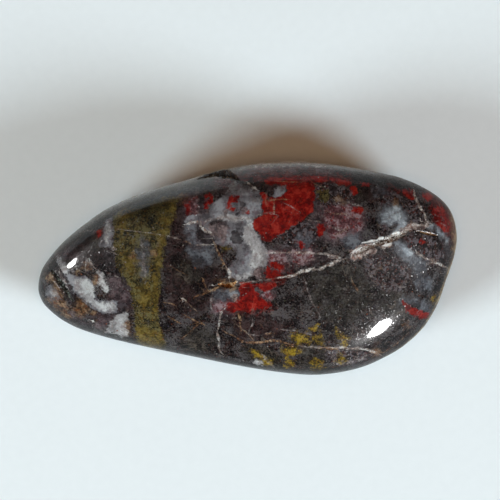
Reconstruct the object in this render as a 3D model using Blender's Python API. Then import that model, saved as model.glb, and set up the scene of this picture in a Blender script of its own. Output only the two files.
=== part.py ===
"""A tumbled pebble of ferruginous quartz, one solid stone with its open cracks and pits.

The stone lies on a worn flat spot on its underside. X runs along its length, Y across it and Z up.
The origin is under the middle of its box. Sizes below are in millimetres.
"""

import math

import bmesh
import bpy
import numpy as np
from mathutils import Matrix, Vector

MM = 0.001

# Size over all
LENGTH = 31.2
WIDTH = 15.9
HEIGHT = 10.0

# Outline seen from above: a narrow tip at -X, a broad blunt end at +X, the straighter side at -Y
OUTLINE = (
    (-15.6, -1.45), (-15.35, -0.2), (-14.65, 0.9), (-13.55, 2.1), (-12.1, 3.3), (-10.3, 4.5), (-7.5, 5.7),
    (-4.5, 6.6), (-1.5, 7.4), (0.5, 7.8), (3.2, 7.95), (5.8, 7.8), (9.0, 7.25), (11.3, 6.75), (13.1, 6.0),
    (14.5, 5.05), (15.3, 3.9), (15.6, 2.3), (15.35, 0.7), (14.8, -0.9), (14.2, -2.6), (13.2, -4.3),
    (11.7, -5.75), (9.9, -6.8), (8.1, -7.5), (5.8, -7.9), (3.6, -7.88), (0.0, -7.38), (-4.5, -6.5),
    (-9.0, -5.55), (-12.0, -4.72), (-13.7, -3.95), (-14.9, -3.0), (-15.4, -2.3),
)
CURVE_STEPS = 16  # points drawn between two points of the outline

# The stone is highest on this upright line. Its sections are taken round it, one every 30 degrees from +X
CROWN = (2.2, 0.0)
SECTION_STEP = 30
RIM_HEIGHT = (5.4, 5.0, 4.7, 4.5, 4.5, 4.6, 4.8, 5.2, 5.7, 5.9, 5.8, 5.6)  # level of the widest line
SHED = (3.4, 2.9, 2.4, 2.1, 2.2, 2.5, 2.9, 2.2, 1.8, 1.4, 1.3, 2.3)  # how far the top falls on its way there
EDGE = (1.4, 1.2, 1.8, 2.4, 2.3, 2.1, 1.8, 0.8, 0.5, 0.5, 1.4, 2.4)  # how far in the edge begins to turn down
BELLY = (2.6, 2.5, 2.5, 2.5, 2.5, 2.5, 2.4, 2.4, 2.3, 2.3, 2.4, 2.5)  # roundness under the widest line
SHED_POWER = 3.0
EDGE_POWER = 2.2

# Towards the narrow tip the top leans to -Y
LEAN = 0.0125
LEAN_FROM = 9.7

# Slow swells that tumbling leaves: height, turns for each millimetre along X and Y, and start
SWELLS = ((0.03, 0.42, 0.25, 0.6), (0.025, -0.30, 0.62, 2.1), (0.02, 0.75, -0.48, 4.0))

MIDDLE = 5.0  # level of the point on the crown line from which the surface is searched for
REST_DEPTH = 0.14  # what the worn flat spot takes off the underside
HALVINGS = 40  # steps of the search for the surface along a direction

CELL = 0.78  # size of a face of the solid
ALONG = 0.9  # an edge follows an axis where this much of it runs that way

# Open cracks and pits in the top, each with its stations: x, y, width and depth
RIM_CRACK = (
    (-3.71, 6.58, 0.10, 0.10), (-3.11, 6.81, 0.28, 0.26), (-2.51, 6.97, 0.45, 0.40),
    (-1.91, 7.01, 0.52, 0.45), (-1.31, 6.92, 0.52, 0.45), (-0.90, 6.69, 0.34, 0.30),
    (-0.56, 6.47, 0.10, 0.10),
)
SMALL_PIT = (
    (-2.14, -1.20, 0.10, 0.10), (-1.76, -1.29, 0.36, 0.30), (-1.39, -1.30, 0.42, 0.36),
    (-1.01, -1.18, 0.30, 0.26), (-0.84, -0.98, 0.10, 0.10),
)
DRUSY_CRACK = (
    (7.84, 0.96, 0.10, 0.08), (8.51, 1.33, 0.36, 0.20), (9.34, 1.71, 0.40, 0.24),
    (10.24, 2.04, 0.50, 0.28), (11.14, 2.38, 0.50, 0.24), (12.04, 2.83, 0.10, 0.08),
)
TIP_CRACK = (
    (-14.51, -0.17, 0.10, 0.08), (-14.21, -0.62, 0.34, 0.20), (-13.84, -1.22, 0.44, 0.26),
    (-13.39, -1.82, 0.40, 0.24), (-12.94, -2.49, 0.10, 0.08),
)
END_SLIT = (
    (12.47, 2.71, 0.06, 0.06), (13.0, 2.60, 0.16, 0.16), (13.5, 2.50, 0.14, 0.14), (14.06, 2.40, 0.06, 0.06),
)
CRACK_RISE = 0.35  # how far each cutter stands above the surface
SLOPE_STEP = 0.05  # the slope at a station is taken over this far to both sides

STONE_COLOUR = (0.060, 0.040, 0.036, 1.0)
STONE_ROUGHNESS = 0.12


def clear_scene():
    for obj in list(bpy.data.objects):
        bpy.data.objects.remove(obj)


def smooth_round(values, place):
    """Value at place in a ring of values, along a smooth curve through them."""
    ring = np.asarray(values, float)
    first = np.floor(place).astype(int)
    t = (place - first)[..., None] if ring.ndim > 1 else place - first
    a, b, c, d = (ring[(first + step) % len(ring)] for step in (-1, 0, 1, 2))
    return b + 0.5 * t * (c - a + t * (2 * a - 5 * b + 4 * c - d + t * (3 * (b - c) + d - a)))


def outline_ring():
    """Angle and radius round the crown line of points close together on the outline."""
    drawn = smooth_round(OUTLINE, np.arange(0, len(OUTLINE), 1 / CURVE_STEPS))
    low, high = drawn.min(0), drawn.max(0)
    drawn = (drawn - (low + high) / 2) * np.array([LENGTH, WIDTH]) / (high - low) - np.array(CROWN)
    angle = np.arctan2(drawn[:, 1], drawn[:, 0])
    order = np.argsort(angle)
    return angle[order], np.hypot(drawn[:, 0], drawn[:, 1])[order]


def swell(x, y):
    return sum(size * np.sin(along * x + across * y + start) for size, along, across, start in SWELLS)


RING_ANGLE, RING_RADIUS = outline_ring()
CROWN_SWELL = swell(*CROWN)


def from_crown(x, y):
    """Angle round the crown line, share of the way to the widest line, and distance left to it."""
    dx, dy = x - CROWN[0], y - CROWN[1]
    angle = np.arctan2(dy, dx)
    radius = np.interp(angle, RING_ANGLE, RING_RADIUS, period=2 * math.pi)
    reach = np.hypot(dx, dy)
    return angle, np.minimum(reach / radius, 1.0), np.maximum(radius - reach, 0.0)


def by_section(values, angle):
    return smooth_round(values, np.degrees(angle) % 360 / SECTION_STEP)


def top_height(x, y):
    """Height of the stone's upper surface over a point of the plan."""
    angle, share, left = from_crown(x, y)
    rim = by_section(RIM_HEIGHT, angle)
    lean = LEAN * y * np.maximum(LEAN_FROM - x, 0.0) * share
    dome = HEIGHT - by_section(SHED, angle) * share**SHED_POWER + lean
    inward = np.minimum(left / by_section(EDGE, angle), 1.0)
    rounding = (1 - (1 - inward) ** EDGE_POWER) ** (1 / EDGE_POWER)
    return rim + (dome - rim) * rounding + (swell(x, y) - CROWN_SWELL) * (1 - share**2)


def under_height(x, y):
    """Height of the stone's underside over a point of the plan, with its worn flat spot at 0."""
    angle, share, _ = from_crown(x, y)
    rim, belly = by_section(RIM_HEIGHT, angle), by_section(BELLY, angle)
    return np.maximum(rim - (rim + REST_DEPTH) * (1 - share**belly) ** (1 / belly), 0.0)


def stone_point(direction):
    """Points of the stone's surface in the given directions from its middle."""
    near, far = np.zeros(len(direction)), np.full(len(direction), LENGTH)
    for _ in range(HALVINGS):
        reach = (near + far) / 2
        x, y, z = (np.array([*CROWN, MIDDLE]) + reach[:, None] * direction).T
        inside = (from_crown(x, y)[1] < 1) & (z < top_height(x, y)) & (z > under_height(x, y))
        near, far = np.where(inside, reach, near), np.where(inside, far, reach)
    return np.stack([x, y, z], 1)


def cut_across(bm, axis, pieces):
    """Cuts every edge that runs along one axis into equal pieces, right across the faces."""
    along = [e for e in bm.edges if abs((e.verts[0].co - e.verts[1].co).normalized()[axis]) > ALONG]
    bmesh.ops.subdivide_edges(bm, edges=along, cuts=pieces - 1, use_grid_fill=True)


def add_object(name, bm, material=None):
    mesh = bpy.data.meshes.new(name)
    bm.to_mesh(mesh)
    bm.free()
    if material is not None:
        mesh.materials.append(material)
    obj = bpy.data.objects.new(name, mesh)
    bpy.context.scene.collection.objects.link(obj)
    return obj


def stone_material():
    material = bpy.data.materials.new("ferruginous_quartz")
    material.use_nodes = True
    shader = material.node_tree.nodes["Principled BSDF"]
    shader.inputs["Base Color"].default_value = STONE_COLOUR
    shader.inputs["Roughness"].default_value = STONE_ROUGHNESS
    shader.inputs["Metallic"].default_value = 0.0
    return material


def build_pebble():
    """A gridded block of the stone's size, with its corners and edges worn round."""
    bm = bmesh.new()
    size = (LENGTH, WIDTH, HEIGHT)
    bmesh.ops.create_cube(bm, size=1.0, matrix=Matrix.Diagonal((*size, 1.0)))
    for axis, side in enumerate(size):
        cut_across(bm, axis, round(side / CELL))
    block = np.array([v.co for v in bm.verts])
    worn = stone_point(block / np.linalg.norm(block, axis=1)[:, None])
    for vert, point in zip(bm.verts, worn):
        vert.co = Vector(point) * MM
    bmesh.ops.recalc_face_normals(bm, faces=bm.faces)
    pebble = add_object("pebble", bm, stone_material())
    pebble.data.shade_smooth()
    return pebble


def crack_cutter(name, stations):
    """A closed wedge along a crack: three corners at each station, drawn to a point at both ends."""
    bm = bmesh.new()
    middle = np.array([(x, y, top_height(x, y)) for x, y, _, _ in stations])
    along = np.gradient(middle, axis=0)
    rings = []
    for place, forward, (x, y, width, depth) in zip(middle, along, stations):
        slope_x = (top_height(x + SLOPE_STEP, y) - top_height(x - SLOPE_STEP, y)) / (2 * SLOPE_STEP)
        slope_y = (top_height(x, y + SLOPE_STEP) - top_height(x, y - SLOPE_STEP)) / (2 * SLOPE_STEP)
        out = Vector((-slope_x, -slope_y, 1.0)).normalized()
        side = out.cross(Vector(forward)).normalized()
        spread = side * width * (1 + CRACK_RISE / depth) / 2
        lip = Vector(place) + out * CRACK_RISE
        corners = (lip - spread, lip + spread, Vector(place) - out * depth)
        rings.append([bm.verts.new(corner * MM) for corner in corners])
    for before, after in zip(rings, rings[1:]):
        for i in range(3):
            j = (i + 1) % 3
            bm.faces.new((before[i], before[j], after[j], after[i]))
    bm.faces.new(rings[0])
    bm.faces.new(rings[-1])
    bmesh.ops.recalc_face_normals(bm, faces=bm.faces)
    cutter = add_object(name, bm)
    cutter.hide_render = True
    cutter.display_type = "WIRE"
    return cutter


def cut(obj, cutter):
    modifier = obj.modifiers.new("open_" + cutter.name, "BOOLEAN")
    modifier.operation = "DIFFERENCE"
    modifier.solver = "EXACT"
    modifier.object = cutter


def main():
    clear_scene()
    pebble = build_pebble()
    cracks = {
        "rim_crack": RIM_CRACK,
        "small_pit": SMALL_PIT,
        "drusy_crack": DRUSY_CRACK,
        "tip_crack": TIP_CRACK,
        "end_slit": END_SLIT,
    }
    for name, stations in cracks.items():
        cut(pebble, crack_cutter(name, stations))


main()
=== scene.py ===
"""A tumbled pebble of ferruginous quartz, lying on white paper and seen from straight above.

Lengths are in millimetres until they become a mesh. The markings are drawn in dots of the 500 by 500
picture, where they show on the stone's upper face. From there they are carried down into the stone, so
that they run over its edge and down its sides.
"""
import math

import bmesh
import bpy
import numpy as np
from mathutils import Matrix, Vector, noise


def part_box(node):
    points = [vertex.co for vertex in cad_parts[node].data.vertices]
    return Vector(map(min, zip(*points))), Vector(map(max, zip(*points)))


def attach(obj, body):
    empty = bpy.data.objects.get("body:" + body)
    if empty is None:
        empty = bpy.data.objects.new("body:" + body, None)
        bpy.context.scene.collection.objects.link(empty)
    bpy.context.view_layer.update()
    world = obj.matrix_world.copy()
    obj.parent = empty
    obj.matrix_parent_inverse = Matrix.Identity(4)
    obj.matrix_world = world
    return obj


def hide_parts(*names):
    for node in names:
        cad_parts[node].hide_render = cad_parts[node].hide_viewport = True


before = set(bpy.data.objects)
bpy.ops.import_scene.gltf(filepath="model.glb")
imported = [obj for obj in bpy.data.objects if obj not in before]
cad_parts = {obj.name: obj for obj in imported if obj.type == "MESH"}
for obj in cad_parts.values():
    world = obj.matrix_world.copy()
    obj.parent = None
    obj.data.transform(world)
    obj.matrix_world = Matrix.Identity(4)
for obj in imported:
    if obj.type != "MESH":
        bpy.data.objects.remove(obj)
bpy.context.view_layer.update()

MM = 0.001
DOT = 0.075  # millimetres of the stone's plan in one dot of the picture
PLAN_MIDDLE = (247.5, 267.75)  # the dot over the stone's origin
PICTURE_MIDDLE = (250.0, 250.0)
PICTURE_SIDE = 500
PICTURE_SCALE = 1.0075  # how much larger the stone's widest line shows than the plan's dots
NEARNESS = 1.012  # how much larger its upper face shows, being nearer the camera

# The stone's form, close to the solid's. Lists of twelve hold a value for each section, from +X round by +Y.
OUTLINE = (
    (-15.6, -1.45), (-15.35, -0.2), (-14.65, 0.9), (-13.55, 2.1), (-12.1, 3.3), (-10.3, 4.5), (-7.5, 5.7),
    (-4.5, 6.6), (-1.5, 7.4), (0.5, 7.8), (3.2, 7.95), (5.8, 7.8), (9.0, 7.25), (11.3, 6.75), (13.1, 6.0),
    (14.5, 5.05), (15.3, 3.9), (15.6, 2.3), (15.35, 0.7), (14.8, -0.9), (14.2, -2.6), (13.2, -4.3),
    (11.7, -5.75), (9.9, -6.8), (8.1, -7.5), (5.8, -7.9), (3.6, -7.88), (0.0, -7.38), (-4.5, -6.5),
    (-9.0, -5.55), (-12.0, -4.72), (-13.7, -3.95), (-14.9, -3.0), (-15.4, -2.3),
)
CURVE_STEPS = 16  # points of the outline for each drawn one
CROWN = (2.2, 0.0)  # the place in the plan that the sections start from
SECTION_STEP = 30  # degrees from one section to the next
# Height of the widest line, how far the dome falls on its way there, and breadth of the turned-down edge
RIM_HEIGHT = (5.4, 5.0, 4.7, 4.5, 4.5, 4.6, 4.8, 5.2, 5.7, 5.9, 5.8, 5.6)
SHED = (3.4, 2.9, 2.4, 2.1, 2.2, 2.5, 2.9, 2.2, 1.8, 1.4, 1.3, 2.3)
EDGE = (1.4, 1.2, 1.8, 2.4, 2.3, 2.1, 1.8, 0.8, 0.5, 0.5, 1.4, 2.4)
# How full the underside is: a higher power bulges further out
BELLY = (2.6, 2.5, 2.5, 2.5, 2.5, 2.5, 2.4, 2.4, 2.3, 2.3, 2.4, 2.5)
SHED_POWER = 3.0  # how late the dome falls
EDGE_POWER = 2.2  # how tightly the edge turns down
EDGE_START = 1.5  # how many of its breadths in from the widest line the edge begins to turn
EDGE_EASE = 3.2  # how slowly it begins
LEAN = 0.0125  # height gained for each millimetre to +Y and each one past LEAN_FROM towards the tip
LEAN_FROM = 9.7
# Low waves of the dome: height, how fast they turn along and across, and where in the turn they start
SWELLS = ((0.03, 0.42, 0.25, 0.6), (0.025, -0.30, 0.62, 2.1), (0.02, 0.75, -0.48, 4.0))
MIDDLE = 5.0  # height of the point inside the stone from which its surface is sought
REST_DEPTH = 0.14  # how much of the belly is worn off at the flat spot
HALVINGS = 34
SLOPE_STEP = 0.05
CELL = (0.148, 0.148, 0.2)  # a face of the grid, along the length, the width and the height
FINE_CUTS = 3  # times each edge is cut round the open cracks
FINE_MARGIN = 0.16  # how far round a crack the finer grid reaches
TOP_SKIN = 0.3  # a point this little under the top's height still belongs to the top

# Open cracks and pits: x, y, width and depth at each station, in millimetres
CRACKS = {
    "rim_crack": (
        (-3.71, 6.58, 0.10, 0.10), (-3.11, 6.81, 0.28, 0.26), (-2.51, 6.97, 0.45, 0.40),
        (-1.91, 7.01, 0.52, 0.45), (-1.31, 6.92, 0.52, 0.45), (-0.90, 6.69, 0.34, 0.30),
        (-0.56, 6.47, 0.10, 0.10),
    ),
    "small_pit": (
        (-2.14, -1.20, 0.10, 0.10), (-1.76, -1.29, 0.36, 0.30), (-1.39, -1.30, 0.42, 0.36),
        (-1.01, -1.18, 0.30, 0.26), (-0.84, -0.98, 0.10, 0.10),
    ),
    "drusy_crack": (
        (7.84, 0.96, 0.10, 0.08), (8.51, 1.33, 0.36, 0.20), (9.34, 1.71, 0.40, 0.24),
        (10.24, 2.04, 0.50, 0.28), (11.14, 2.38, 0.50, 0.24), (12.04, 2.83, 0.10, 0.08),
    ),
    "tip_crack": (
        (-14.51, -0.17, 0.10, 0.08), (-14.21, -0.62, 0.34, 0.20), (-13.84, -1.22, 0.44, 0.26),
        (-13.39, -1.82, 0.40, 0.24), (-12.94, -2.49, 0.10, 0.08),
    ),
    "end_slit": (
        (12.47, 2.71, 0.06, 0.06), (13.00, 2.60, 0.16, 0.16), (13.50, 2.50, 0.14, 0.14),
        (14.06, 2.40, 0.06, 0.06),
    ),
    "lower_slit": (
        (2.80, -5.74, 0.06, 0.05), (3.05, -5.76, 0.14, 0.12), (3.25, -5.79, 0.12, 0.10),
        (3.42, -5.83, 0.05, 0.05),
    ),
}

# Mineral patches, each drawn as closed outlines in dots of the picture
PATCHES = {
    "maroon": (
        ((170, 200), (186, 198), (200, 205), (196, 222), (200, 244), (214, 262), (226, 276), (216, 300),
            (190, 316), (168, 300), (164, 262), (170, 230)),
        ((58, 250), (74, 238), (96, 232), (112, 246), (104, 260), (84, 260), (66, 262)),
        ((240, 170), (280, 167), (330, 168), (372, 178), (400, 186), (394, 200), (350, 200), (330, 198),
            (300, 190), (262, 190)),
        ((400, 234), (420, 236), (442, 250), (440, 268), (416, 262), (402, 250)),
        ((372, 256), (392, 258), (410, 268), (406, 290), (384, 286), (370, 272)),
        ((112, 298), (126, 300), (130, 312), (118, 316), (104, 310)),
        ((232, 312), (262, 314), (284, 322), (280, 336), (250, 340), (232, 330)),
    ),
    "greenish": (
        ((318, 268), (344, 264), (366, 274), (372, 296), (356, 318), (330, 322), (312, 304), (310, 282)),
        ((176, 262), (190, 258), (200, 268), (196, 280), (180, 280)),
        ((184, 332), (204, 326), (216, 340), (206, 354), (188, 350)),
        ((378, 292), (398, 290), (412, 304), (402, 318), (384, 310)),
        ((340, 184), (356, 186), (368, 196), (356, 204), (342, 198)),
        ((92, 232), (104, 226), (104, 244), (94, 250)),
        ((300, 346), (318, 348), (328, 358), (316, 368), (300, 366)),
        ((244, 347), (262, 348), (280, 354), (292, 364), (280, 371), (256, 366)),
    ),
    "deep_red": (
        ((234, 172), (250, 169), (275, 167), (300, 167), (328, 169), (352, 175), (352, 185), (330, 183),
            (300, 181), (275, 183), (256, 181), (240, 179)),
        ((384, 187), (392, 186), (400, 190), (400, 197), (392, 198), (385, 194)),
        ((420, 191), (431, 190), (441, 196), (447, 205), (438, 207), (428, 202), (421, 198)),
        ((430, 204), (442, 203), (452, 212), (457, 226), (455, 242), (450, 244), (446, 236), (436, 226),
            (431, 214)),
        ((184, 196), (192, 198), (196, 210), (192, 222), (186, 214)),
        ((294, 240), (308, 237), (313, 247), (302, 254), (295, 249)),
        ((262, 262), (284, 260), (291, 272), (281, 282), (264, 280)),
        ((322, 206), (336, 202), (354, 208), (356, 224), (340, 236), (326, 230)),
        ((228, 302), (240, 298), (262, 300), (274, 306), (266, 312), (244, 313), (229, 312)),
        ((98, 228), (104, 230), (103, 238), (97, 237)),
    ),
    "plum": (
        ((186, 195), (196, 190), (206, 196), (208, 212), (204, 224), (208, 240), (204, 252), (192, 250),
            (186, 232), (183, 212)),
        ((266, 250), (284, 246), (306, 248), (322, 252), (336, 256), (322, 262), (300, 266), (284, 272),
            (268, 268)),
        ((109, 279), (119, 277), (128, 283), (132, 292), (131, 306), (122, 312), (112, 309), (108, 300),
            (110, 290)),
        ((95, 313), (104, 314), (112, 314), (108, 324), (100, 330), (93, 324)),
        ((70, 312), (80, 316), (86, 324), (78, 322), (70, 318)),
        ((212, 300), (224, 298), (234, 300), (238, 310), (226, 316), (214, 314), (208, 306)),
        ((314, 200), (340, 198), (360, 206), (366, 222), (358, 238), (336, 244), (318, 240), (310, 222)),
        ((55, 258), (59, 251), (68, 249), (75, 252), (84, 256), (76, 259), (66, 258)),
        ((206, 178), (224, 180), (240, 186), (236, 194), (218, 192), (206, 190)),
        ((238, 172), (262, 167.5), (300, 166.5), (332, 169), (332, 174.5), (300, 173), (262, 174),
            (242, 176)),
        ((262, 290), (273, 291), (273, 298), (263, 298)),
    ),
    "pink": (
        ((328, 205), (345, 205), (358, 209), (363, 218), (361, 230), (352, 235), (340, 238), (329, 236),
            (325, 222)),
        ((290, 250), (300, 248), (312, 251), (314, 258), (306, 264), (294, 263)),
        ((240, 209), (248, 209), (250, 214), (242, 215)),
        ((191, 200), (197, 199), (198, 214), (194, 222), (190, 214)),
        ((263, 291), (271, 291), (274, 297), (268, 301), (262, 298)),
        ((214, 303), (226, 301), (232, 306), (224, 312), (214, 310)),
        ((266, 253), (282, 252), (288, 259), (278, 265), (266, 263)),
        ((297, 242), (305, 242), (306, 249), (298, 249)),
        ((214, 177), (228, 180), (236, 184), (230, 187), (216, 184)),
        ((210, 228), (218, 226), (227, 230), (227, 238), (222, 243), (214, 238)),
    ),
    "granular": (
        ((403, 203), (416, 201), (424, 208), (424, 222), (412, 222), (406, 214)),
        ((406, 236), (424, 235), (441, 240), (442, 256), (432, 266), (416, 263), (408, 250)),
        ((279, 222), (296, 220), (316, 226), (318, 242), (304, 249), (288, 247), (278, 238)),
        ((364, 258), (384, 256), (404, 261), (410, 280), (398, 291), (380, 290), (368, 276)),
        ((255, 266), (267, 267), (269, 279), (257, 280)),
        ((316, 184), (346, 186), (354, 200), (334, 206), (318, 203)),
        ((374, 186), (398, 194), (404, 208), (388, 208), (376, 200)),
        ((328, 348), (362, 350), (384, 354), (372, 362), (350, 368), (332, 364)),
        ((381, 223), (388, 223), (389, 230), (382, 231)),
    ),
    "olive": (
        ((113, 216), (118, 213), (130, 208), (146, 203), (162, 199), (179, 196), (178, 204), (176, 212),
            (171, 227), (166, 243), (162, 268), (160, 290), (158, 307), (160, 323), (163, 335), (165, 349),
            (150, 351), (139, 345), (137, 334), (135, 321), (132, 301), (130, 286), (124, 277), (118, 268),
            (115, 256), (114, 245), (113, 230)),
        ((318, 192), (327, 190), (330, 198), (324, 203), (318, 199)),
    ),
    "mustard": (
        ((136, 330), (142, 327), (150, 330), (160, 334), (163, 344), (154, 348), (140, 345)),
        ((163, 200), (177, 197), (174, 214), (168, 231), (164, 246), (160, 266), (158, 290), (158, 314),
            (154, 312), (153, 290), (156, 262), (159, 236), (162, 216)),
        ((120, 212), (132, 209), (128, 222), (122, 234), (117, 226)),
        ((220, 246.5), (230, 245.5), (240, 247), (238, 249.5), (224, 250)),
        ((122, 252), (132, 250), (138, 262), (132, 274), (124, 266)),
        ((140, 288), (148, 284), (152, 298), (146, 308), (139, 300)),
    ),
    "gold": (
        ((313, 336), (318, 334), (323, 338), (322, 345), (316, 344)),
        ((291, 334), (300, 333), (309, 336), (310, 342), (302, 343), (294, 342)),
        ((335, 328.5), (340, 330), (345, 335), (348, 340), (347, 345.5), (342, 344), (338, 337)),
        ((312, 325.5), (317, 325), (319, 330), (313, 331.5)),
        ((283, 349), (290, 347), (298, 347.5), (301, 351), (296, 354), (290, 357), (284, 354)),
        ((252, 350), (257, 350.5), (263, 355), (271, 361), (269, 365.5), (262, 361), (255, 355)),
        ((312, 361), (319, 360), (323, 364), (319, 369), (313, 368)),
        ((286, 362), (294, 362), (293, 366), (287, 366)),
        ((337, 355), (343, 356), (344, 361), (338, 362)),
        ((433, 295.5), (436, 296), (436, 300), (433.5, 300)),
    ),
    "grey_quartz": (
        ((209.4, 213.8), (210.6, 206.3), (215.6, 200.6), (222.5, 197), (227, 192), (229.4, 185.6),
            (235, 182.5), (243.8, 185.6), (252.5, 188.8), (259.4, 192), (262, 200), (262, 211.3),
            (260, 215), (253.8, 218.8), (252, 225), (255, 232.5), (260, 240), (265, 247.5), (267.5, 257.5),
            (266.3, 265), (256.3, 270), (250, 276.3), (242.5, 279.4), (235, 278.8), (229.4, 275),
            (227.5, 268.8), (232.5, 263.8), (235.6, 257.5), (235, 251.3), (230, 246.3), (221.3, 246.3),
            (215, 242.5), (210, 235), (205, 230), (198.8, 223.8), (187.5, 223.8), (186.3, 218.8),
            (192.5, 215), (200, 214.4)),
        ((273, 198), (275, 190), (280, 185), (286, 186), (285, 194), (279, 198)),
        ((105, 221), (112.7, 220), (112.7, 245), (107, 246.5), (100.4, 246), (99.3, 241.7), (102.7, 233)),
        ((57.7, 257.2), (63.8, 261.7), (69.3, 272.8), (79.3, 276.5), (88.2, 277.5), (94, 284), (95, 292),
            (97, 299.4), (105, 301.2), (116, 301), (118, 309.4), (113.8, 313), (102.7, 313), (91.6, 307.2),
            (83.8, 301), (75, 294), (71.6, 287.2), (63.8, 272.8), (58.2, 263.9)),
        ((47, 286), (56, 288), (60, 298), (52, 302), (46, 294)),
    ),
    "milky_quartz": (
        ((243.8, 230), (250, 221.3), (253.8, 221.3), (252.5, 227.5), (257.5, 235), (260, 242.5),
            (266.3, 251.3), (266.3, 262.5), (260, 266.3), (252.5, 268.8), (247.5, 265), (251.3, 257.5),
            (252.5, 251.3), (247.5, 245), (243.8, 238.8)),
        ((236, 274), (243, 275), (252, 271), (250, 277), (243, 279.5), (237, 279)),
        ((105, 331.7), (107, 329.4), (111.6, 321.7), (118.2, 313.5), (126, 312.5), (129, 318.3),
            (125, 322.8), (126, 327.2), (128.2, 331.7), (127, 336.5), (118.2, 335.5), (109.3, 332.5)),
        ((75, 279), (84, 278.5), (91, 281), (94, 288), (95, 299), (90, 303), (84, 299), (78, 293),
            (74, 286)),
        ((91, 301), (102, 303), (114, 303), (116, 309), (106, 311.5), (96, 309)),
        ((84, 257.4), (89.5, 260.6), (96, 268.3), (103.8, 275), (107, 282.8), (110, 289.4), (107, 291.5),
            (102.7, 287.2), (98.5, 281.7), (98.2, 273.5), (92, 266.5), (86.5, 261)),
        ((106, 224), (110, 224), (109, 234), (108, 244), (105, 243), (105, 233)),
        ((230, 291.5), (236, 291), (238, 295), (234, 297.5), (229, 295)),
        ((218, 216), (230, 214.5), (248, 217.5), (246, 220.5), (232, 221.5), (222, 220)),
        ((58, 258), (63, 262), (68, 270), (65, 273), (60, 266)),
        ((51, 291), (56, 291), (56, 296), (51, 296)),
        ((255, 360), (262, 361), (262, 365), (255, 364)),
    ),
    "blue_grey": (
        ((187, 225), (195, 225), (197.5, 235), (200, 243.8), (211.3, 245), (210, 251), (205, 257),
            (197, 254), (192.5, 247.5), (188.8, 240)),
        ((190, 248), (206, 246), (216, 252), (212, 264), (198, 266), (190, 258)),
        ((344, 236), (352, 233), (360, 236), (360, 246), (350, 249), (344, 244)),
        ((298, 236), (308, 234), (314, 242), (306, 249), (298, 246)),
        ((396, 240), (404, 245), (413, 252), (423, 261), (427, 271), (417, 274), (407, 264), (398, 256),
            (393, 248)),
        ((415, 273), (422, 271), (431, 278), (431, 288), (424, 291), (417, 286)),
        ((215, 293), (223, 289), (235, 289), (239, 293), (236, 298), (226, 300), (217, 299)),
        ((400, 301), (412, 298), (430, 305), (430, 312), (412, 306)),
        ((378, 213), (386, 206), (396, 205), (405, 212), (408, 226), (402, 233), (395, 222), (384, 221),
            (378, 222)),
        ((139, 240), (146, 237), (150, 250), (149, 270), (145, 280), (140, 272), (137, 254)),
        ((374, 187), (386, 188), (390, 194), (382, 196), (374, 193)),
    ),
    "cloudy_quartz": (
        ((392, 206), (398, 205.5), (402.5, 211), (406, 220), (406, 229), (400, 234), (392, 236), (390, 233),
            (396, 229), (397, 222), (393, 214)),
        ((379, 218), (384, 210), (391, 208), (396, 212), (398, 220), (392, 224), (384, 222)),
        ((394, 242), (400, 243.5), (407, 249), (413, 253), (412, 257.5), (404, 256), (397, 250)),
        ((427, 225), (433, 225.5), (440, 229), (447, 236), (450, 244), (446, 242), (440, 235), (433, 230),
            (427, 228)),
    ),
    "inclusion": (
        ((207, 226.3), (210, 222.5), (217.5, 220.5), (225, 221.5), (228, 227.5), (226.3, 235), (223.8, 242),
            (217.5, 238), (211.3, 233)),
        ((238.8, 208.8), (244, 208), (249, 210), (248.5, 214), (241, 213)),
        ((223.8, 210), (227.5, 210), (227, 216), (224, 215.5)),
        ((253.8, 270), (262, 268), (268, 272), (266, 278), (256, 278)),
        ((255.5, 267.5), (262, 267), (266, 271), (262, 275), (256, 273)),
    ),
    "cream_quartz": (
        ((350, 252), (357, 247), (365, 244), (374, 245.5), (374.5, 253), (367, 254.5), (362, 253),
            (356, 257), (350, 258)),
        ((351, 256), (356, 250), (364, 247), (374, 246.5), (375, 252), (367, 255), (360, 258), (353, 260)),
        ((376, 245), (380, 240), (386, 237.5), (391, 236), (393, 240), (391, 245), (386, 247.5),
            (380, 247.5)),
        ((390, 237), (396, 232), (402, 230), (404, 233), (398, 239), (392, 241.5)),
        ((401, 231), (405, 226), (410, 222), (416, 223.5), (418, 227.5), (413, 230), (407, 231.5),
            (403, 235)),
        ((416, 226), (423, 224.5), (429, 220.5), (431, 222.5), (425, 228), (418, 229)),
        ((232, 295), (239, 296), (238, 301), (233, 300)),
    ),
    "red_jasper": (
        ((302, 182.5), (312.8, 183), (314.4, 192), (314.4, 202), (312, 212), (306, 217), (301, 221),
            (290, 228), (284, 232), (278, 235.5), (270, 240), (263, 241), (260, 235.5), (255.5, 230),
            (252.8, 224.4), (255, 220), (259, 218), (262, 214), (262, 210), (263, 202), (268, 200),
            (274, 198), (280, 196.5), (285.5, 192), (287, 186), (292, 183.5)),
        ((241, 283), (248, 282), (254, 285), (257, 292), (262, 299), (268, 303), (270, 307), (264, 310),
            (258, 308), (250, 312), (240, 309), (235, 311), (228, 311), (226, 307), (230, 303), (238, 301),
            (240, 295), (239, 289)),
        ((256, 283), (266, 283), (276.7, 283.5), (273, 289), (266, 290.5), (258, 288)),
        ((270, 262), (277, 262.5), (283, 266), (282, 271), (277, 269), (271, 267)),
        ((268, 273), (274, 270.5), (279, 272), (277, 277), (270, 279), (266, 277)),
        ((402, 190), (409, 189), (414, 193), (413, 199), (408, 199), (404, 195)),
        ((424, 194), (430, 193), (434, 196), (431, 200), (425, 199)),
        ((432, 211), (437, 207), (443, 208), (448, 216), (451, 225), (450, 232), (444, 232), (438, 226),
            (433, 218)),
        ((402, 301.5), (408, 304), (416, 308), (424, 312), (430, 313.5), (428, 317.8), (420, 318.5),
            (412, 314.5), (405, 308.5)),
        ((352.8, 208), (357, 206.5), (362.8, 207.5), (362, 212), (357, 214.5), (353, 213)),
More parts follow.
